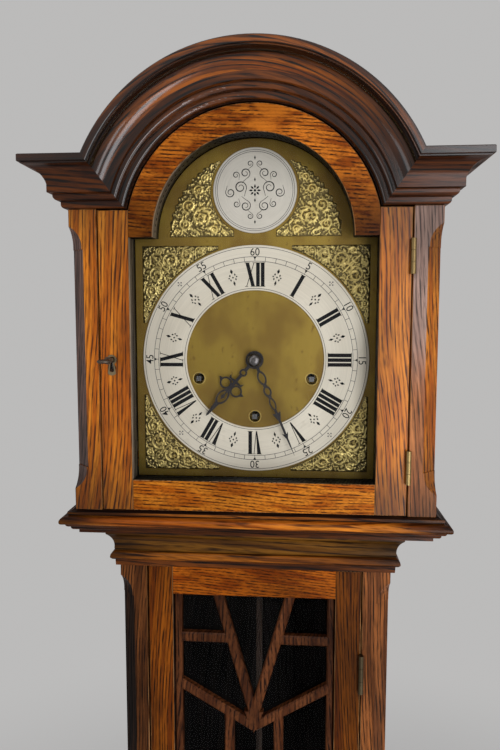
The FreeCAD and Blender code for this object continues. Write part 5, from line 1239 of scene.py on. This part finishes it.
def seen_rays(tree):
    """1 for what the camera sees, also by way of metal and glass."""
    rays = tree.nodes.new("ShaderNodeLightPath").outputs
    mirrored = worked(tree, "MAXIMUM", rays["Is Glossy Ray"], rays["Is Transmission Ray"])
    return worked(tree, "MAXIMUM", rays["Is Camera Ray"], mirrored)


floor_material = bpy.data.materials.new("pale floor")
floor_material.use_nodes = True
floor_tree = floor_material.node_tree
floor_shader = floor_tree.nodes["Principled BSDF"]
floor_place = own_place(floor_tree)
floor_cloud = cloud(floor_tree, floor_place, (3.0, 3.0, 3.0))
floor_tone = blended(floor_tree, floor_cloud, (0.78, 0.77, 0.76, 1.0), (0.84, 0.83, 0.82, 1.0))
floor_tree.links.new(floor_tone, floor_shader.inputs["Base Color"])
floor_shader.inputs["Roughness"].default_value = 0.6
floor_reach = node_in(floor_tree, "ShaderNodeVectorMath", {0: floor_place}, operation="LENGTH")
floor_edge = eased(floor_tree, floor_reach.outputs["Value"], 0.8, 2.2)
floor_far = worked(floor_tree, "MULTIPLY", floor_edge, seen_rays(floor_tree))
floor_glow = node_in(floor_tree, "ShaderNodeEmission", {"Color": PALE, "Strength": 1.0}).outputs[0]
floor_feeds = {0: floor_far, 1: floor_shader.outputs[0], 2: floor_glow}
floor_mix = node_in(floor_tree, "ShaderNodeMixShader", floor_feeds).outputs[0]
floor_tree.links.new(floor_mix, floor_tree.nodes["Material Output"].inputs["Surface"])
floor_corners = [(x * FLOOR_HALF, z * FLOOR_HALF, 0) for x, z in ((-1, -1), (1, -1), (1, 1), (-1, 1))]
new_piece("studio_floor", (floor_corners, [[0, 1, 2, 3]]), floor_material)


def lamp(name, place, aim, size, watts, colour):
    """Soft rectangular lamp that points at a spot on the clock, and isn't seen through the panes."""
    data = bpy.data.lights.new(name, "AREA")
    data.shape = "RECTANGLE"
    data.size, data.size_y = size
    data.energy = watts
    data.color = colour
    thing = bpy.data.objects.new(name, data)
    thing.location = place
    x, y, z = np.array(aim) - np.array(place)
    thing.rotation_euler = (math.atan2(math.hypot(x, y), -z), 0.0, math.atan2(y, x) - math.pi / 2)
    thing.visible_transmission = False
    scene.collection.objects.link(thing)
    return thing


TRUNK_FRONT = (0.0, -0.05, 1.3)
lamp("window lamp", (0.80, -2.0, 1.30), TRUNK_FRONT, (0.65, 2.1), 25.0, (0.94, 0.96, 1.0))
lamp("side lamp", (1.85, -1.55, 1.30), TRUNK_FRONT, (0.5, 2.1), 14.0, (0.96, 0.97, 1.0))
lamp("left lamp", (-1.7, -1.6, 1.8), TRUNK_FRONT, (0.7, 1.8), 8.5, (0.95, 0.97, 1.0))
lamp("overhead lamp", (0.0, -1.3, 3.2), (0.0, -0.1, 1.3), (1.4, 1.0), 8.0, (1.0, 0.99, 0.97))
back_lamp = lamp("back lamp", (-0.7, 2.2, 1.8), (0.0, 0.1, 1.1), (1.2, 1.8), 16.0, (1.0, 1.0, 1.0))
back_lamp.visible_glossy = False

surround = bpy.data.worlds.new("pale surround")
surround.use_nodes = True
scene.world = surround
sky = surround.node_tree
fill = sky.nodes["Background"]
fill.inputs["Color"].default_value = (0.12, 0.12, 0.125, 1.0)
shown = node_in(sky, "ShaderNodeBackground", {"Color": PALE, "Strength": 1.0}).outputs[0]
both = node_in(sky, "ShaderNodeMixShader", {0: seen_rays(sky), 1: fill.outputs[0], 2: shown}).outputs[0]
sky.links.new(both, sky.nodes["World Output"].inputs["Surface"])

view = bpy.data.cameras.new("photograph camera")
view.lens = 30.92
view.sensor_width = 36.0
view.clip_start = 0.02
camera = bpy.data.objects.new("photograph camera", view)
camera.location = (0.0467, -0.7315, 1.5988)
camera.rotation_euler = (math.radians(84.5), 0.0, math.radians(4.36))
scene.collection.objects.link(camera)
scene.camera = camera
